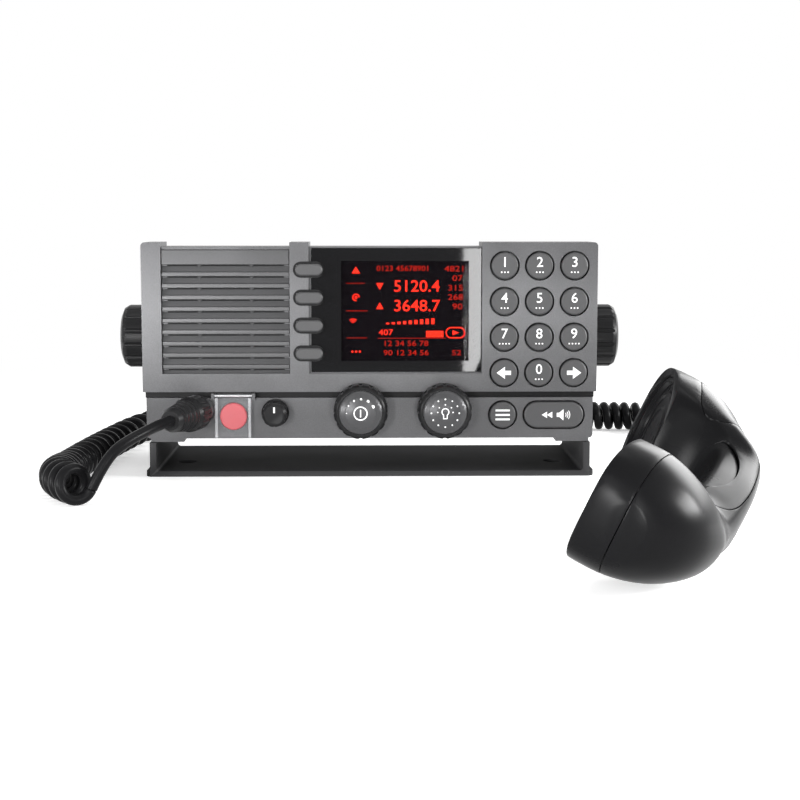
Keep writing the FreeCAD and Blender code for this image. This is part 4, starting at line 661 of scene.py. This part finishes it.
def curls():
    """The curly cord's curls about its route, and the straight run into the handset's relief."""
    route = nurbs("coil_route", [Vector(p) * MM for p in COIL_ROUTE])
    points, reached = line_of(route)
    bpy.data.objects.remove(route)
    whole = reached[-1]
    angle = FIRST_CURL
    distance = 0.0
    curled = [Vector(LEAD_ROUTE[-1]) * MM]
    while distance < whole:
        ahead = along(points, reached, distance + 2 * MM)
        way = (ahead - along(points, reached, distance - 2 * MM)).normalized()
        side = way.cross(Vector((0, 0, 1))).normalized()
        up = side.cross(way)
        radius = between(RADII, distance / whole) * MM
        lift = Vector((0, 0, max(0.0, radius - 6.5 * MM)))
        reach = (side * cos(angle) + up * sin(angle)) * radius
        curled.append(along(points, reached, distance) + lift + reach)
        angle -= 2 * pi / CURL_POINTS
        distance += between(PITCHES, distance / whole) * MM / CURL_POINTS
    while (curled[-1] - points[-1]).length < 3 * MM:
        curled.pop()
    return curled + [points[-1], Vector(RELIEF_TIP) * MM]


class RADIO_OT_cords(bpy.types.Operator):
    """Lays the straight lead and the curly cord"""
    bl_idname = "radio.cords"
    bl_label = "Cords"

    def execute(self, context):
        lead = nurbs("lead_line", [Vector(p) * MM for p in LEAD_ROUTE])
        lead_line = [p.copy() for p in line_of(lead)[0]]
        lead = cord_tube(lead, 4, 6)
        paint(lead, "cord")
        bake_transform(lead)
        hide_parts("cord_lead")
        curly = nurbs("curly_line", curls())
        curly_line = [p.copy() for p in line_of(curly)[0]]
        curly = cord_tube(curly, 3, 2)
        paint(curly, "cord")
        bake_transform(curly)
        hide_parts("curly_cord")
        return {"FINISHED"}


# the stage


class RADIO_OT_stage(bpy.types.Operator):
    """Sets the floor, the lights and the camera"""
    bl_idname = "radio.stage"
    bl_label = "Stage"

    def execute(self, context):
        light = context.scene.radio_stage
        deselect()
        bpy.ops.mesh.primitive_plane_add(size=12, location=(0, 2, 0))
        floor = context.object
        floor.name = "floor"
        rest_place(floor)
        floor.data.materials.append(floor_paper(light.floor))
        lamp("key", (-0.35, -0.95, 0.45), (0, -0.05, 0.07), 0.5, 0.35, light.key_power)
        lamp("top", (0.05, -0.05, 0.70), (0.05, -0.12, 0), 0.7, 0.16, light.top_power)
        lamp("left", (-0.66, -0.44, 0.12), (0.03, -0.20, 0.05), 0.2, 0.17, light.side_power)
        lamp("rim", (-0.34, -0.93, 0.09), (0.07, -0.30, 0.04), 0.12, 0.12, light.rim_power * 0.34)
        lamp("right", (0.90, -0.18, 0.27), (0.11, -0.28, 0.03), 0.46, 0.2, light.rim_power)
        lamp("back", (0.65, 0.42, 0.30), (0.12, -0.20, 0.04), 0.60, 0.36, light.rim_power * 0.3)
        lamp("card", (0.114, -0.60, 0.058), (0.062, -0.034, 0.09), 0.064, 0.115, light.card_power)
        camera = bpy.data.cameras.new("camera")
        camera.lens = VIEW_LENS
        camera.clip_start = 0.02
        viewer = linked("camera", camera)
        viewer.location = VIEW_PLACE
        viewer.rotation_euler = (radians(90 - VIEW_DOWN), 0, radians(-VIEW_ASIDE))
        context.scene.camera = viewer
        context.scene.view_settings.view_transform = "Standard"
        room(context.scene)
        return {"FINISHED"}


def seen_directly(tree):
    """One where a ray comes from the camera or is a mirror or see-through ray, else nothing."""
    path = tree.nodes.new("ShaderNodeLightPath").outputs
    mirrored = reckon(tree, "MAXIMUM", path["Is Camera Ray"], path["Is Glossy Ray"])
    return reckon(tree, "MAXIMUM", mirrored, path["Is Transmission Ray"])


def room(scene):
    """A white studio: white to the camera, softer as a light."""
    world = bpy.data.worlds.new("studio")
    world.use_nodes = True
    scene.world = world
    tree = world.node_tree
    back = tree.nodes["Background"]
    back.inputs["Color"].default_value = (1, 1, 1, 1)
    tree.links.new(spread(tree, seen_directly(tree), ROOM_LEVEL, 1.0), back.inputs["Strength"])


def floor_paper(colour):
    """Pale paper that keeps the object's shadow near it and runs out into plain white further off."""
    material = finish("floor paper", colour, 0.9, bump=0.0, mottle=0.01)
    tree = material.node_tree
    nodes = tree.nodes
    links = tree.links
    shader = nodes["Principled BSDF"]
    direct = seen_directly(tree)
    shader.inputs["Emission Color"].default_value = (1, 1, 1, 1)
    shader.inputs["Specular IOR Level"].default_value = 0.0
    links.new(reckon(tree, "MULTIPLY", direct, FLOOR_LEVEL), shader.inputs["Emission Strength"])
    span = nodes.new("ShaderNodeVectorMath")
    span.operation = "LENGTH"
    links.new(nodes["Texture Coordinate"].outputs["Object"], span.inputs[0])
    far = nodes.new("ShaderNodeMapRange")
    far.interpolation_type = "SMOOTHSTEP"
    far.inputs["From Min"].default_value = SHADOW_ENDS[0]
    far.inputs["From Max"].default_value = SHADOW_ENDS[1]
    links.new(span.outputs["Value"], far.inputs["Value"])
    white = nodes.new("ShaderNodeEmission")
    mixed = nodes.new("ShaderNodeMixShader")
    links.new(reckon(tree, "MULTIPLY", far.outputs["Result"], direct), mixed.inputs["Fac"])
    links.new(shader.outputs["BSDF"], mixed.inputs[1])
    links.new(white.outputs["Emission"], mixed.inputs[2])
    links.new(mixed.outputs["Shader"], nodes["Material Output"].inputs["Surface"])
    return material


def lamp(name, place, target, width, height, power):
    """A soft lamp turned to a target, which the camera doesn't see."""
    data = bpy.data.lights.new(name, "AREA")
    data.shape = "RECTANGLE"
    data.size = width
    data.size_y = height
    data.energy = power
    item = linked(name, data)
    item.location = place
    item.rotation_euler = (Vector(target) - Vector(place)).to_track_quat("-Z", "Y").to_euler()
    item.visible_camera = False


# print


def flat_text(words, height, x, z, y, narrow=1.0, bold=0.0):
    """Plain characters of a cap height, standing on a front face, as a thin closed mesh."""
    deselect()
    bpy.ops.object.text_add(location=(x, y, z), rotation=(pi / 2, 0, 0))
    piece = bpy.context.object
    piece.data.body = words
    piece.data.size = height / 0.72
    piece.data.align_x = "CENTER"
    piece.data.align_y = "CENTER"
    piece.data.extrude = 0.04 * MM
    piece.data.offset = bold
    piece.data.resolution_u = 3
    piece.scale.x = narrow
    bpy.ops.object.convert(target="MESH")
    rest_place(piece)
    return piece


def flat_disc(radius, x, z, y, depth=0.08 * MM, sides=32):
    """A thin disc standing on a front face."""
    deselect()
    bpy.ops.mesh.primitive_cylinder_add(
        vertices=sides, radius=radius, depth=depth, location=(x, y, z), rotation=(pi / 2, 0, 0))
    piece = bpy.context.object
    rest_place(piece)
    return piece


def flat_bar(width, height, x, z, y, depth=0.08 * MM):
    """A thin bar standing on a front face."""
    deselect()
    bpy.ops.mesh.primitive_cube_add(size=1, location=(x, y, z))
    piece = bpy.context.object
    piece.scale = (width, depth, height)
    rest_place(piece)
    return piece


def flat_ring(radius, width, x, z, y, depth=0.08 * MM, sides=48, sweep=2 * pi, start=0.0):
    """A ring, or an arc anticlockwise from a start angle, of even width, standing on a front face."""
    closed = sweep > 6.28
    count = sides if closed else sides + 1
    corners = []
    for k in range(count):
        angle = start + sweep * k / sides
        for reach, back in ((-1, -1), (1, -1), (1, 1), (-1, 1)):
            far = radius + reach * width / 2
            corners.append((x + far * cos(angle), y + back * depth / 2, z + far * sin(angle)))
    faces = []
    for k in range(sides):
        n = (k + 1) % count
        faces += [(4 * k + c, 4 * k + (c + 1) % 4, 4 * n + (c + 1) % 4, 4 * n + c) for c in range(4)]
    if not closed:
        faces += [(3, 2, 1, 0), tuple(4 * sides + c for c in range(4))]
    return plate(corners, faces)


def flat_shape(corners, y, depth=0.08 * MM):
    """A thin plate with an outline of (x, z) corners in millimetres, standing on a front face."""
    return slab(*[[(x * MM, y + side * depth / 2, z * MM) for x, z in corners] for side in (-1, 1)])


def flat_pill_ring(x, z, width, height, line, y):
    """The outline of a pill, of even width, standing on a front face."""
    pieces = []
    reach = (width - height) / 2
    radius = (height - line) / 2
    for side in (-1, 1):
        pieces.append(flat_ring(radius * MM, line * MM, (x + side * reach) * MM, z * MM, y, sides=20,
                                sweep=pi, start=-side * pi / 2))
        pieces.append(flat_bar(2 * reach * MM, line * MM, x * MM, (z + side * radius) * MM, y))
    return join(*pieces)


def printed(piece, marks, kind):
    """Joins printed marks onto a piece, in a second material."""
    for mark in marks:
        paint(mark, kind)
    join(piece, *marks)


def middle_of(node):
    """The middle of a node's front, as x, z and y."""
    low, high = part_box(node)
    return (low.x + high.x) / 2, (low.z + high.z) / 2, low.y


# the pieces


class RADIO_OT_bracket(bpy.types.Operator):
    """Dresses the mounting bracket and its clamp knobs"""
    bl_idname = "radio.bracket"
    bl_label = "Bracket"

    def execute(self, context):
        dress("mounting_bracket", "bracket", 0.4 * MM)
        for side in ("left", "right"):
            dress("clamp_knob_" + side, "knobs", 0.4 * MM)
        return {"FINISHED"}


class RADIO_OT_head(bpy.types.Operator):
    """Dresses the front panel, the grille, the case and what they hold"""
    bl_idname = "radio.head"
    bl_label = "Head"

    def execute(self, context):
        panel = dress("front_panel", "panel", 0.5 * MM, segments=3)
        # painted shade: a dark bar in the groove over the lower strip, and dark rings round the soft keys
        width, height, up, back, depth = [size * MM for size in GROOVE_SHADE]
        shadows = [flat_bar(width, height, 0, up, back, depth)]
        for k in range(1, 5):
            x, z, _ = middle_of(f"soft_key_{k}")
            shadows.append(flat_pill_ring(x / MM, z / MM, *SOFT_KEY_SHADE, SOFT_FACE))
        printed(panel, shadows, "dark")
        self.grille()
        dress("rear_case", "case", 0.3 * MM)
        for node, kind in (
            ("loudspeaker_frame", "dark"), ("loudspeaker_cone", "cone"), ("display_module", "module"),
            ("keypad_mat", "rubber"), ("control_board", "board"), ("main_board", "board"),
            ("rotary_encoders", "steel"), ("handset_socket", "steel"), ("pivot_inserts", "brass"),
            ("case_screws", "steel"), ("system_connector", "dark"), ("power_socket", "dark"),
            ("earth_stud", "brass"), ("panel_gasket", "rubber"), ("hinge_pin", "steel"),
            ("handset_earpiece", "dark"), ("handset_microphone", "dark"), ("talk_pin", "steel"),
            ("talk_switch", "dark"),
        ):
            paint(NODES[node], kind)
        return {"FINISHED"}

    def grille(self):
        """The grille: level slats, with a leaning blade behind each slot and, above the blade, a dark strip
        painted as the shade in the slit.
        """
        low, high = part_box("speaker_grille")
        front, back = low.y, high.y
        slit, lip, foot = front + 2.6 * MM, front + 1.9 * MM, front + 1.0 * MM
        pieces = []
        top = high.z
        for k in range(GRILLE_SLOTS):
            edge = GRILLE_TOP - k * GRILLE_PITCH + GRILLE_OPEN / 2
            under = edge - GRILLE_OPEN
            dip = edge - 0.8 * MM
            crest = edge - 0.7 * MM
            pieces += [
                self.bar("slats", [(front, top), (front, edge), (back, edge), (back, top)]),
                self.bar("blades", [(lip, crest), (foot, under), (back, under), (back, crest)]),
                # the dark strip in the slit above the blade is painted shade
                self.bar("dark", [(slit, edge), (slit, dip), (back, dip), (back, edge)]),
            ]
            for x in GRILLE_RIBS:
                x, z = x / MM, edge / MM
                corners = [(x - 1.2, z - 0.1), (x + 1.2, z - 0.1), (x, z - 1.5)]
                nib = flat_shape(corners, front + 1.7 * MM, 0.8 * MM)
                paint(nib, "blades")
                pieces.append(nib)
            top = under
        pieces.append(self.bar("slats", [(front, top), (front, low.z), (back, low.z), (back, top)]))
        piece = join(*pieces)
        piece.name = "skin_speaker_grille"
        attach(piece, "radio")
        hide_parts("speaker_grille")

    def bar(self, kind, outline):
        """A bar right across the grille, with four (y, z) corners."""
        low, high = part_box("speaker_grille")
        piece = slab(*[[(x, y, z) for y, z in outline] for x in (low.x, high.x)])
        soften_edges(piece, (0.42 if kind == "slats" else 0.12) * MM, 3)
        shade(piece, 40, True)
        paint(piece, kind)
        return piece


class RADIO_OT_screen(bpy.types.Operator):
    """Makes the lit marks of the screen and dresses its glass"""
    bl_idname = "radio.screen"
    bl_label = "Screen"

    def execute(self, context):
        dress("display_window", "glass", 0.15 * MM)
        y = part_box("display_window")[1].y + 0.07 * MM
        marks = {"lit": [], "dim": []}
        lit = marks["lit"]
        for words, x, z, height, narrow, level in SCREEN_TEXT:
            bold = 0.05 * MM if height > 4 else 0.0
            marks[level].append(flat_text(words, height * MM, x * MM, z * MM, y, narrow, bold))
        for x, z, width, height, level in SCREEN_BARS:
            marks[level].append(flat_bar(width * MM, height * MM, x * MM, z * MM, y))
        for k in range(9):
            height = (0.7 + 0.3 * k) * MM
            lit.append(flat_bar(1.7 * MM, height, (9.4 + 3 * k) * MM, 81.4 * MM + height / 2, y))
        for z, way in ((101.5, -1), (91.1, 1)):
            corners = [(3.3, z - 1.7 * way), (7.1, z - 1.7 * way), (5.2, z + 1.9 * way)]
            lit.append(flat_shape(corners[::way], y))
        lit.append(flat_pill_ring(45.4, 76.8, 10.4, 6.0, 0.55, y))
        lit.append(flat_shape([(43.9, 75.5), (47.3, 76.8), (43.9, 78.1)][::-1], y))
        lit.append(flat_shape([(-9.6, 108.3), (-5.2, 108.3), (-7.4, 111.9)], y))
        lit.append(flat_ring(
            1.7 * MM, 0.55 * MM, -7.4 * MM, 95.6 * MM, y, sides=20, sweep=radians(280)))
        lit.append(flat_disc(0.75 * MM, -7.4 * MM, 95.6 * MM, y, sides=12))
        for k in range(3):
            lit.append(flat_ring(
                (0.8 + 0.9 * k) * MM, 0.4 * MM, -9.0 * MM, 81.6 * MM, y, sides=10,
                sweep=radians(90), start=radians(45)))
            lit.append(flat_disc(0.55 * MM, (-9.4 + 2 * k) * MM, 66.8 * MM, y, sides=12))
        for level, pieces in marks.items():
            for piece in pieces:
                paint(piece, level)
        shown = join(*lit, *marks["dim"])
        shown.name = "screen_marks"
        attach(shown, "radio")
        return {"FINISHED"}


class RADIO_OT_keys(bpy.types.Operator):
    """Dresses the keys, with their plain numbers and signs"""
    bl_idname = "radio.keys"
    bl_label = "Keys"

    def execute(self, context):
        for label in "1234567890":
            x, z, y = self.face("key_" + label)
            marks = [flat_text(label, 5.4 * MM, x, z + 1.7 * MM, y, 1.0, 0.02 * MM)]
            dots = 4 if label in "79" else 3
            for k in range(dots):
                place = x + (k - (dots - 1) / 2) * 1.7 * MM
                marks.append(flat_disc(0.42 * MM, place, z - 3.4 * MM, y, sides=16))
            self.key("key_" + label, marks)
        for node, way in (("key_left", -1), ("key_right", 1)):
            x, z, y = self.face(node)
            x, z = x / MM, z / MM
            neck, tail = x - 0.4 * way, x - 3.6 * way
            arrow = [(x + 4.0 * way, z), (neck, z - 3.2), (neck, z - 1.1), (tail, z - 1.1),
                     (tail, z + 1.1), (neck, z + 1.1), (neck, z + 3.2)]
            self.key(node, [flat_shape(arrow, y)])
        x, z, y = self.face("key_mode")
        self.key("key_mode", [flat_bar(7.6 * MM, 1.0 * MM, x, z + k * 2.4 * MM, y) for k in (-1, 0, 1)])
        x, z, y = self.face("key_replay")
        x, z = x / MM, z / MM
        marks = [
            flat_shape([(x - 3.6, z), (x - 0.8, z + 1.7), (x - 0.8, z - 1.7)], y),
            flat_shape([(x - 6.4, z), (x - 3.6, z + 1.7), (x - 3.6, z - 1.7)], y),
            flat_shape([(x + 1.6, z - 1.1), (x + 2.9, z - 1.1), (x + 5.2, z - 3.0), (x + 5.2, z + 3.0),
                        (x + 2.9, z + 1.1), (x + 1.6, z + 1.1)], y),
        ]
        for k in range(3):
            marks.append(flat_ring((1.6 + 1.0 * k) * MM, 0.36 * MM, (x + 5.0) * MM, z * MM, y, sides=12,
                                   sweep=radians(76), start=radians(-38)))
        self.key("key_replay", marks)
        for k in range(1, 5):
            dress(f"soft_key_{k}", "keys", 0.6 * MM, segments=3)
        return {"FINISHED"}

    def face(self, node):
        """The middle of a key's face, and where its print stands."""
        x, z, y = middle_of(node)
        return x, z, y - 0.02 * MM

    def key(self, node, marks):
        """Dresses a key and prints its marks on it."""
        printed(dress(node, "keys", 0.3 * MM, segments=3), marks, "white")


class RADIO_OT_knobs(bpy.types.Operator):
    """Dresses the rotary knobs"""
    bl_idname = "radio.knobs"
    bl_label = "Knobs"

    def execute(self, context):
        for name in ("volume", "dimmer"):
            dress(name + "_ring", "knobs", 0.4 * MM)
            cap = dress(name + "_cap", "caps", angle=60)
            sign = self.power if name == "volume" else self.lamp_sign
            printed(cap, sign(*middle_of(name + "_cap")), "white")
        knob = dress("gain_knob", "knobs", 0.9 * MM, segments=4)
        x, z, y = middle_of("gain_knob")
        printed(knob, [flat_bar(0.9 * MM, 3.0 * MM, x, z + 2.6 * MM, y - 0.02 * MM)], "white")
        return {"FINISHED"}

    def dots(self, x, z, y, ring, angles, radii):
        """Dots on a cap's dome, at angles from its right."""
        back = y + between(CAP_FALL, ring / MM) * MM
        found = []
        for angle, radius in zip(angles, radii):
            across = ring * cos(radians(angle))
            up = ring * sin(radians(angle))
            found.append(flat_disc(radius * MM, x + across, z + up, back, 0.16 * MM, 16))
        return found

    def power(self, x, z, y):
        """The volume cap's marks: growing dots, and a ring with a bar."""
        marks = self.dots(x, z, y, 7.4 * MM, (180, 148, 118, 88, 58, 28), (0.32, 0.4, 0.5, 0.6, 0.75, 0.9))
        marks.append(flat_ring(3.4 * MM, 0.6 * MM, x, z, y + 0.12 * MM, 0.2 * MM))
        marks.append(flat_bar(0.6 * MM, 4.0 * MM, x, z, y + 0.03 * MM, depth=0.2 * MM))
        return marks

    def lamp_sign(self, x, z, y):
        """The dimmer cap's marks: a ring of dots round a lamp."""
        marks = self.dots(x, z, y, 7.3 * MM, range(0, 360, 30), [0.42] * 12)
        marks += self.dots(x, z + 0.5 * MM, y, 4.0 * MM, (0, 38, 90, 142, 180), [0.36] * 5)
        marks.append(flat_ring(1.8 * MM, 0.5 * MM, x, z + 0.7 * MM, y + 0.03 * MM, 0.2 * MM, 32,
                               radians(290), radians(-55)))
        for side in (-1, 1):
            marks.append(flat_bar(
                0.5 * MM, 1.9 * MM, x + side * 0.95 * MM, z - 1.7 * MM, y + 0.05 * MM, depth=0.2 * MM))
        marks.append(flat_bar(2.3 * MM, 0.5 * MM, x, z - 2.8 * MM, y + 0.08 * MM, depth=0.2 * MM))
        return marks


class RADIO_OT_distress(bpy.types.Operator):
    """Dresses the distress button and its clear cover"""
    bl_idname = "radio.distress"
    bl_label = "Distress button"

    def execute(self, context):
        dress("distress_button", "button", 0.3 * MM)
        cover = dress("distress_cover", "cover", 0.15 * MM)
        low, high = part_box("distress_cover")
        height = high.z - low.z - 2.2 * MM
        # the side flanges are paler and less clear than the cover: a painted highlight
        edges = []
        for x in (low.x + 0.95 * MM, high.x - 0.95 * MM):
            edge = flat_bar(1.5 * MM, height, x, low.z + height / 2, low.y + 0.6 * MM, depth=1.3 * MM)
            soften_edges(edge, 0.4 * MM, 3)
            edges.append(edge)
        printed(cover, edges, "cover_edge")
        return {"FINISHED"}


class RADIO_OT_plug(bpy.types.Operator):
    """Dresses the handset's plug"""
    bl_idname = "radio.plug"
    bl_label = "Plug"

    def execute(self, context):
        dress("plug_body", "knobs", 0.2 * MM)
        dress("plug_collar", "knobs", 0.3 * MM)
        return {"FINISHED"}


class RADIO_OT_handset(bpy.types.Operator):
    """Dresses the handset"""
    bl_idname = "radio.handset"
    bl_label = "Handset"

    def execute(self, context):
        turn = Matrix.Identity(4)
        for angle, axis in zip(HAND_TURN, "ZYX"):
            turn = turn @ Matrix.Rotation(radians(angle), 4, axis)
        self.place = Matrix.Translation(Vector(HAND_PLACE) * MM) @ turn
        whole = self.form("hand_form", 0.0)
        for cup in (EAR, MOUTH):
            self.cut(whole, self.beyond(cup, 0.0))
            self.cut(whole, self.rod(self.on_face(cup), cup[2] - CUP_RIM, -6.0, CUP_DEPTH, 96))
        self.cut(whole, self.prism(self.bow(TALK_GAP), 60))
        hollow = self.form("hand_room", SHELL_WALL)
        self.cut(hollow, self.prism(self.bow(TALK_ROOM), 60), "INTERSECT")
        self.cut(whole, hollow)
        self.cut(whole, self.rod(self.axis(), RELIEF_BORE, -3.0, RELIEF_DEPTH, 48))
        pick(whole)
        bpy.ops.object.duplicate()
        outer = bpy.context.view_layer.objects.active
        self.cut(whole, self.under_seam(-SEAM_GAP), "INTERSECT")
        self.cut(outer, self.under_seam(SEAM_GAP))
        core = self.form("hand_core", CORE_WALL)
        for cup in (EAR, MOUTH):
            self.cut(core, self.beyond(cup, CORE_DEPTH))
        self.cut(core, self.prism(self.bow(TALK_ROOM + 0.5), 60))
        self.cut(core, self.rod(self.axis(), RELIEF_BORE + 0.1, -3.0, RELIEF_DEPTH, 48))
        for piece in (whole, outer):
            soften_edges(piece, 0.3 * MM, 2, 45)
            shade(piece, 30)
        shade(core, 60)
        paint(core, "dark")
        paint(whole, "handset")
        inner = join(whole, core, *self.faces())
        for piece, node in ((inner, "handset_inner_shell"), (outer, "handset_outer_shell")):
            piece.data.transform(self.place)
            piece.name = "skin_" + node
            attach(piece, "handset")
            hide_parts(node)
        paint(outer, "handset")
        self.lever()
        self.boot()
        return {"FINISHED"}

    def rows(self, wall, narrower, prouder):
        """The handset's stations with more between them, shrunk by a wall on all sides."""
        found = eased(HAND_ROWS, HAND_STEPS)
        if wall or narrower:
            found = found[HAND_STEPS:-HAND_STEPS]
        return [[x, low + wall - prouder, high - wall, half - wall - narrower, *fullness]
                for x, low, high, half, *fullness in found]

    def form(self, name, wall, narrower=0.0, prouder=0.0):
        """The handset's closed form, as rings of points about its length."""
        shape = bmesh.new()
        rings = []
        for x, low, high, half, lower, upper, face in self.rows(wall, narrower, prouder):
            middle = low + (high - low) * 0.4
            ring = []
            for k in range(HAND_SIDES):
                c = cos(2 * pi * k / HAND_SIDES)
                s = sin(2 * pi * k / HAND_SIDES)
                power = 2 / (face if s <= 0 else lower if c > 0 else upper)
                rise = high - middle if s > 0 else middle - low
                y = middle + rise * copysign(abs(s) ** power, s)
                z = half * copysign(abs(c) ** power, c)
                ring.append(shape.verts.new(Vector((x, y, z)) * MM))
            rings.append(ring)
        for a, b in zip(rings, rings[1:]):
            for k in range(HAND_SIDES):
                n = (k + 1) % HAND_SIDES
                shape.faces.new((a[k], a[n], b[n], b[k]))
        shape.faces.new(rings[0][::-1])
        shape.faces.new(rings[-1])
        return formed(shape, name)

    def cut(self, piece, tool, kind="DIFFERENCE"):
        """Cuts a piece with a tool, which is used up."""
        modifier = piece.modifiers.new("cut", "BOOLEAN")
        modifier.operation = kind
        modifier.object = tool
        modifier.solver = "EXACT"
        apply_all(piece)
        bpy.data.objects.remove(tool, do_unlink=True)

    def on_face(self, cup):
        """A cup's face plane: local Z into the cup."""
        place, lean, radius, out = cup
        angle = radians(lean)
        into = Vector((-sin(angle), cos(angle), 0))
        middle = Vector((place, 0, 0)) - out * into
        return self.facing(middle, into)

    def beyond(self, cup, depth):
        """All that lies outside a cup's face, or outside a plane some way under it."""
        deselect()
        bpy.ops.mesh.primitive_cube_add(size=1)
        piece = bpy.context.object
        piece.scale = (110 * MM, 110 * MM, 60 * MM)
        rest_place(piece)
        piece.data.transform(self.on_face(cup) @ Matrix.Translation((0, 0, (depth - 30) * MM)))
        return piece

    def axis(self):
        """The strain relief's place: local Z along the cord."""
        x, y, lean = RELIEF
        way = Vector((cos(radians(lean)), sin(radians(lean)), 0))
        return self.facing(Vector((x, y, 0)), way)

    def facing(self, middle, way):
        """A place at a point in millimetres, with local Z along a way."""
        return Matrix.Translation(middle * MM) @ way.to_track_quat("Z", "Y").to_matrix().to_4x4()

    def rod(self, place, radius, low, high, sides):
        """A round rod along a place's local Z."""
        deselect()
        bpy.ops.mesh.primitive_cylinder_add(
            vertices=sides, radius=radius * MM, depth=(high - low) * MM,
            location=(0, 0, (low + high) / 2 * MM))
        piece = bpy.context.object
        rest_place(piece)
        piece.data.transform(place)
        return piece

    def prism(self, outline, half):
        """A form right across the handset, with an outline of (x, y) corners in millimetres."""
        return slab(*[[(x * MM, y * MM, side * half * MM) for x, y in outline] for side in (-1, 1)])

    def under_seam(self, shift):
        """All that lies on the face side of the parting line, moved off it by a shift."""
        line = eased(HAND_SEAM, SEAM_STEPS)
        moved = []
        for k, (x, y) in enumerate(line):
            (px, py), (nx, ny) = line[max(k - 1, 0)], line[min(k + 1, len(line) - 1)]
            length = hypot(nx - px, ny - py)
            moved.append((x - shift * (ny - py) / length, y + shift * (nx - px) / length))
        return self.prism(moved + [(125, -90), (-125, -90)], 70)

    def bow(self, more):
        """The talk lever's outline seen from the side, grown all round."""
        middle, base, half, rise = TALK_BOW
        half += more
        rise += more
        turns = [pi * k / 40 for k in range(41)]
        line = [(middle + half * cos(turn), base + rise * sin(turn)) for turn in turns]
        return line + [(middle - half, base - 22), (middle + half, base - 22)]

    def lever(self):
        """The talk lever: the grip's inner side, a little narrower than the grip."""
        piece = self.form("skin_talk_lever", 0.0, 1.3, 1.0)
        self.cut(piece, self.prism(self.bow(0.0), 60), "INTERSECT")
        soften_edges(piece, 0.5 * MM, 3, 50)
        shade(piece, 35)
        piece.data.transform(self.place)
        finished(piece, "talk_lever", "handset")
        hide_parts("talk_lever")

    def faces(self):
        """The ringed plates in the cups' recesses, with their sound holes."""
        plates = []
        for cup in (EAR, MOUTH):
            radius = cup[2] - CUP_RIM - 0.1
            item = lathe("face", [(radius * share, height) for share, height in CUP_RINGS], 96)
            soften_edges(item, 0.18 * MM, 2)
            shade(item, 40)
            paint(item, "handset")
            for ring, count in ((0.0, 1), (0.26, 6)):
                for k in range(count):
                    angle = 2 * pi * k / count
                    place = ring * radius * MM * Vector((cos(angle), sin(angle), 0))
                    hole = lathe("hole", [(0, 2.96), (1.3, 2.96), (1.3, 3.4), (0, 3.4)], 20)
                    hole.data.transform(Matrix.Translation(place))
                    paint(hole, "dark")
                    item = join(item, hole)
            item.data.transform(self.on_face(cup))
            plates.append(item)
        return plates

    def boot(self):
        """The ribbed strain relief, turned about the cord."""
        profile = [(0, -0.8), (5.5, -0.8), (5.5, 8.0), (5.6, 9.0)]
        for k in range(5):
            low = 10 + 4.2 * k
            wide = 5.3 - 0.36 * k
            profile += [(wide, low), (wide, low + 2.6), (wide - 0.9, low + 3.0), (wide - 0.9, low + 3.8)]
        profile += [(3.7, 31.2), (3.4, 32.0), (2.9, 32.0), (0, 32.0)]
        piece = lathe("relief", profile, 40)
        piece.data.transform(self.place @ self.axis())
        soften_edges(piece, 0.25 * MM, 2)
        shade(piece, 40)
        piece.name = "skin_handset_strain_relief"
        finished(piece, "handset", "cord")
        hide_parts("handset_strain_relief")


class RADIO_PT_panel(bpy.types.Panel):
    """The radio's pieces"""
    bl_idname = "RADIO_PT_panel"
    bl_label = "Radio"
    bl_space_type = "VIEW_3D"
    bl_region_type = "UI"
    bl_category = "Radio"

    def draw(self, context):
        for operator in STEPS:
            self.layout.operator(operator.bl_idname)
        for group in (context.scene.radio_cords, context.scene.radio_finishes, context.scene.radio_stage):
            box = self.layout.box()
            for name in group.__annotations__:
                box.prop(group, name)


GROUPS = (CordSizes, Finishes, StageLight)
STEPS = (
    RADIO_OT_stage, RADIO_OT_cords, RADIO_OT_bracket, RADIO_OT_head, RADIO_OT_screen, RADIO_OT_keys,
    RADIO_OT_knobs, RADIO_OT_distress, RADIO_OT_plug, RADIO_OT_handset,
)


def register():
    for item in GROUPS + STEPS + (RADIO_PT_panel,):
        bpy.utils.register_class(item)
    bpy.types.Scene.radio_cords = bpy.props.PointerProperty(type=CordSizes)
    bpy.types.Scene.radio_finishes = bpy.props.PointerProperty(type=Finishes)
    bpy.types.Scene.radio_stage = bpy.props.PointerProperty(type=StageLight)


def unregister():
    del bpy.types.Scene.radio_stage
    del bpy.types.Scene.radio_finishes
    del bpy.types.Scene.radio_cords
    for item in reversed(GROUPS + STEPS + (RADIO_PT_panel,)):
        bpy.utils.unregister_class(item)


def main():
    register()
    make_materials()
    bpy.ops.radio.stage()
    bpy.ops.radio.cords()
    bpy.ops.radio.bracket()
    bpy.ops.radio.head()
    bpy.ops.radio.screen()
    bpy.ops.radio.keys()
    bpy.ops.radio.knobs()
    bpy.ops.radio.distress()
    bpy.ops.radio.plug()
    bpy.ops.radio.handset()
    deselect()


if __name__ == "__main__":
    main()
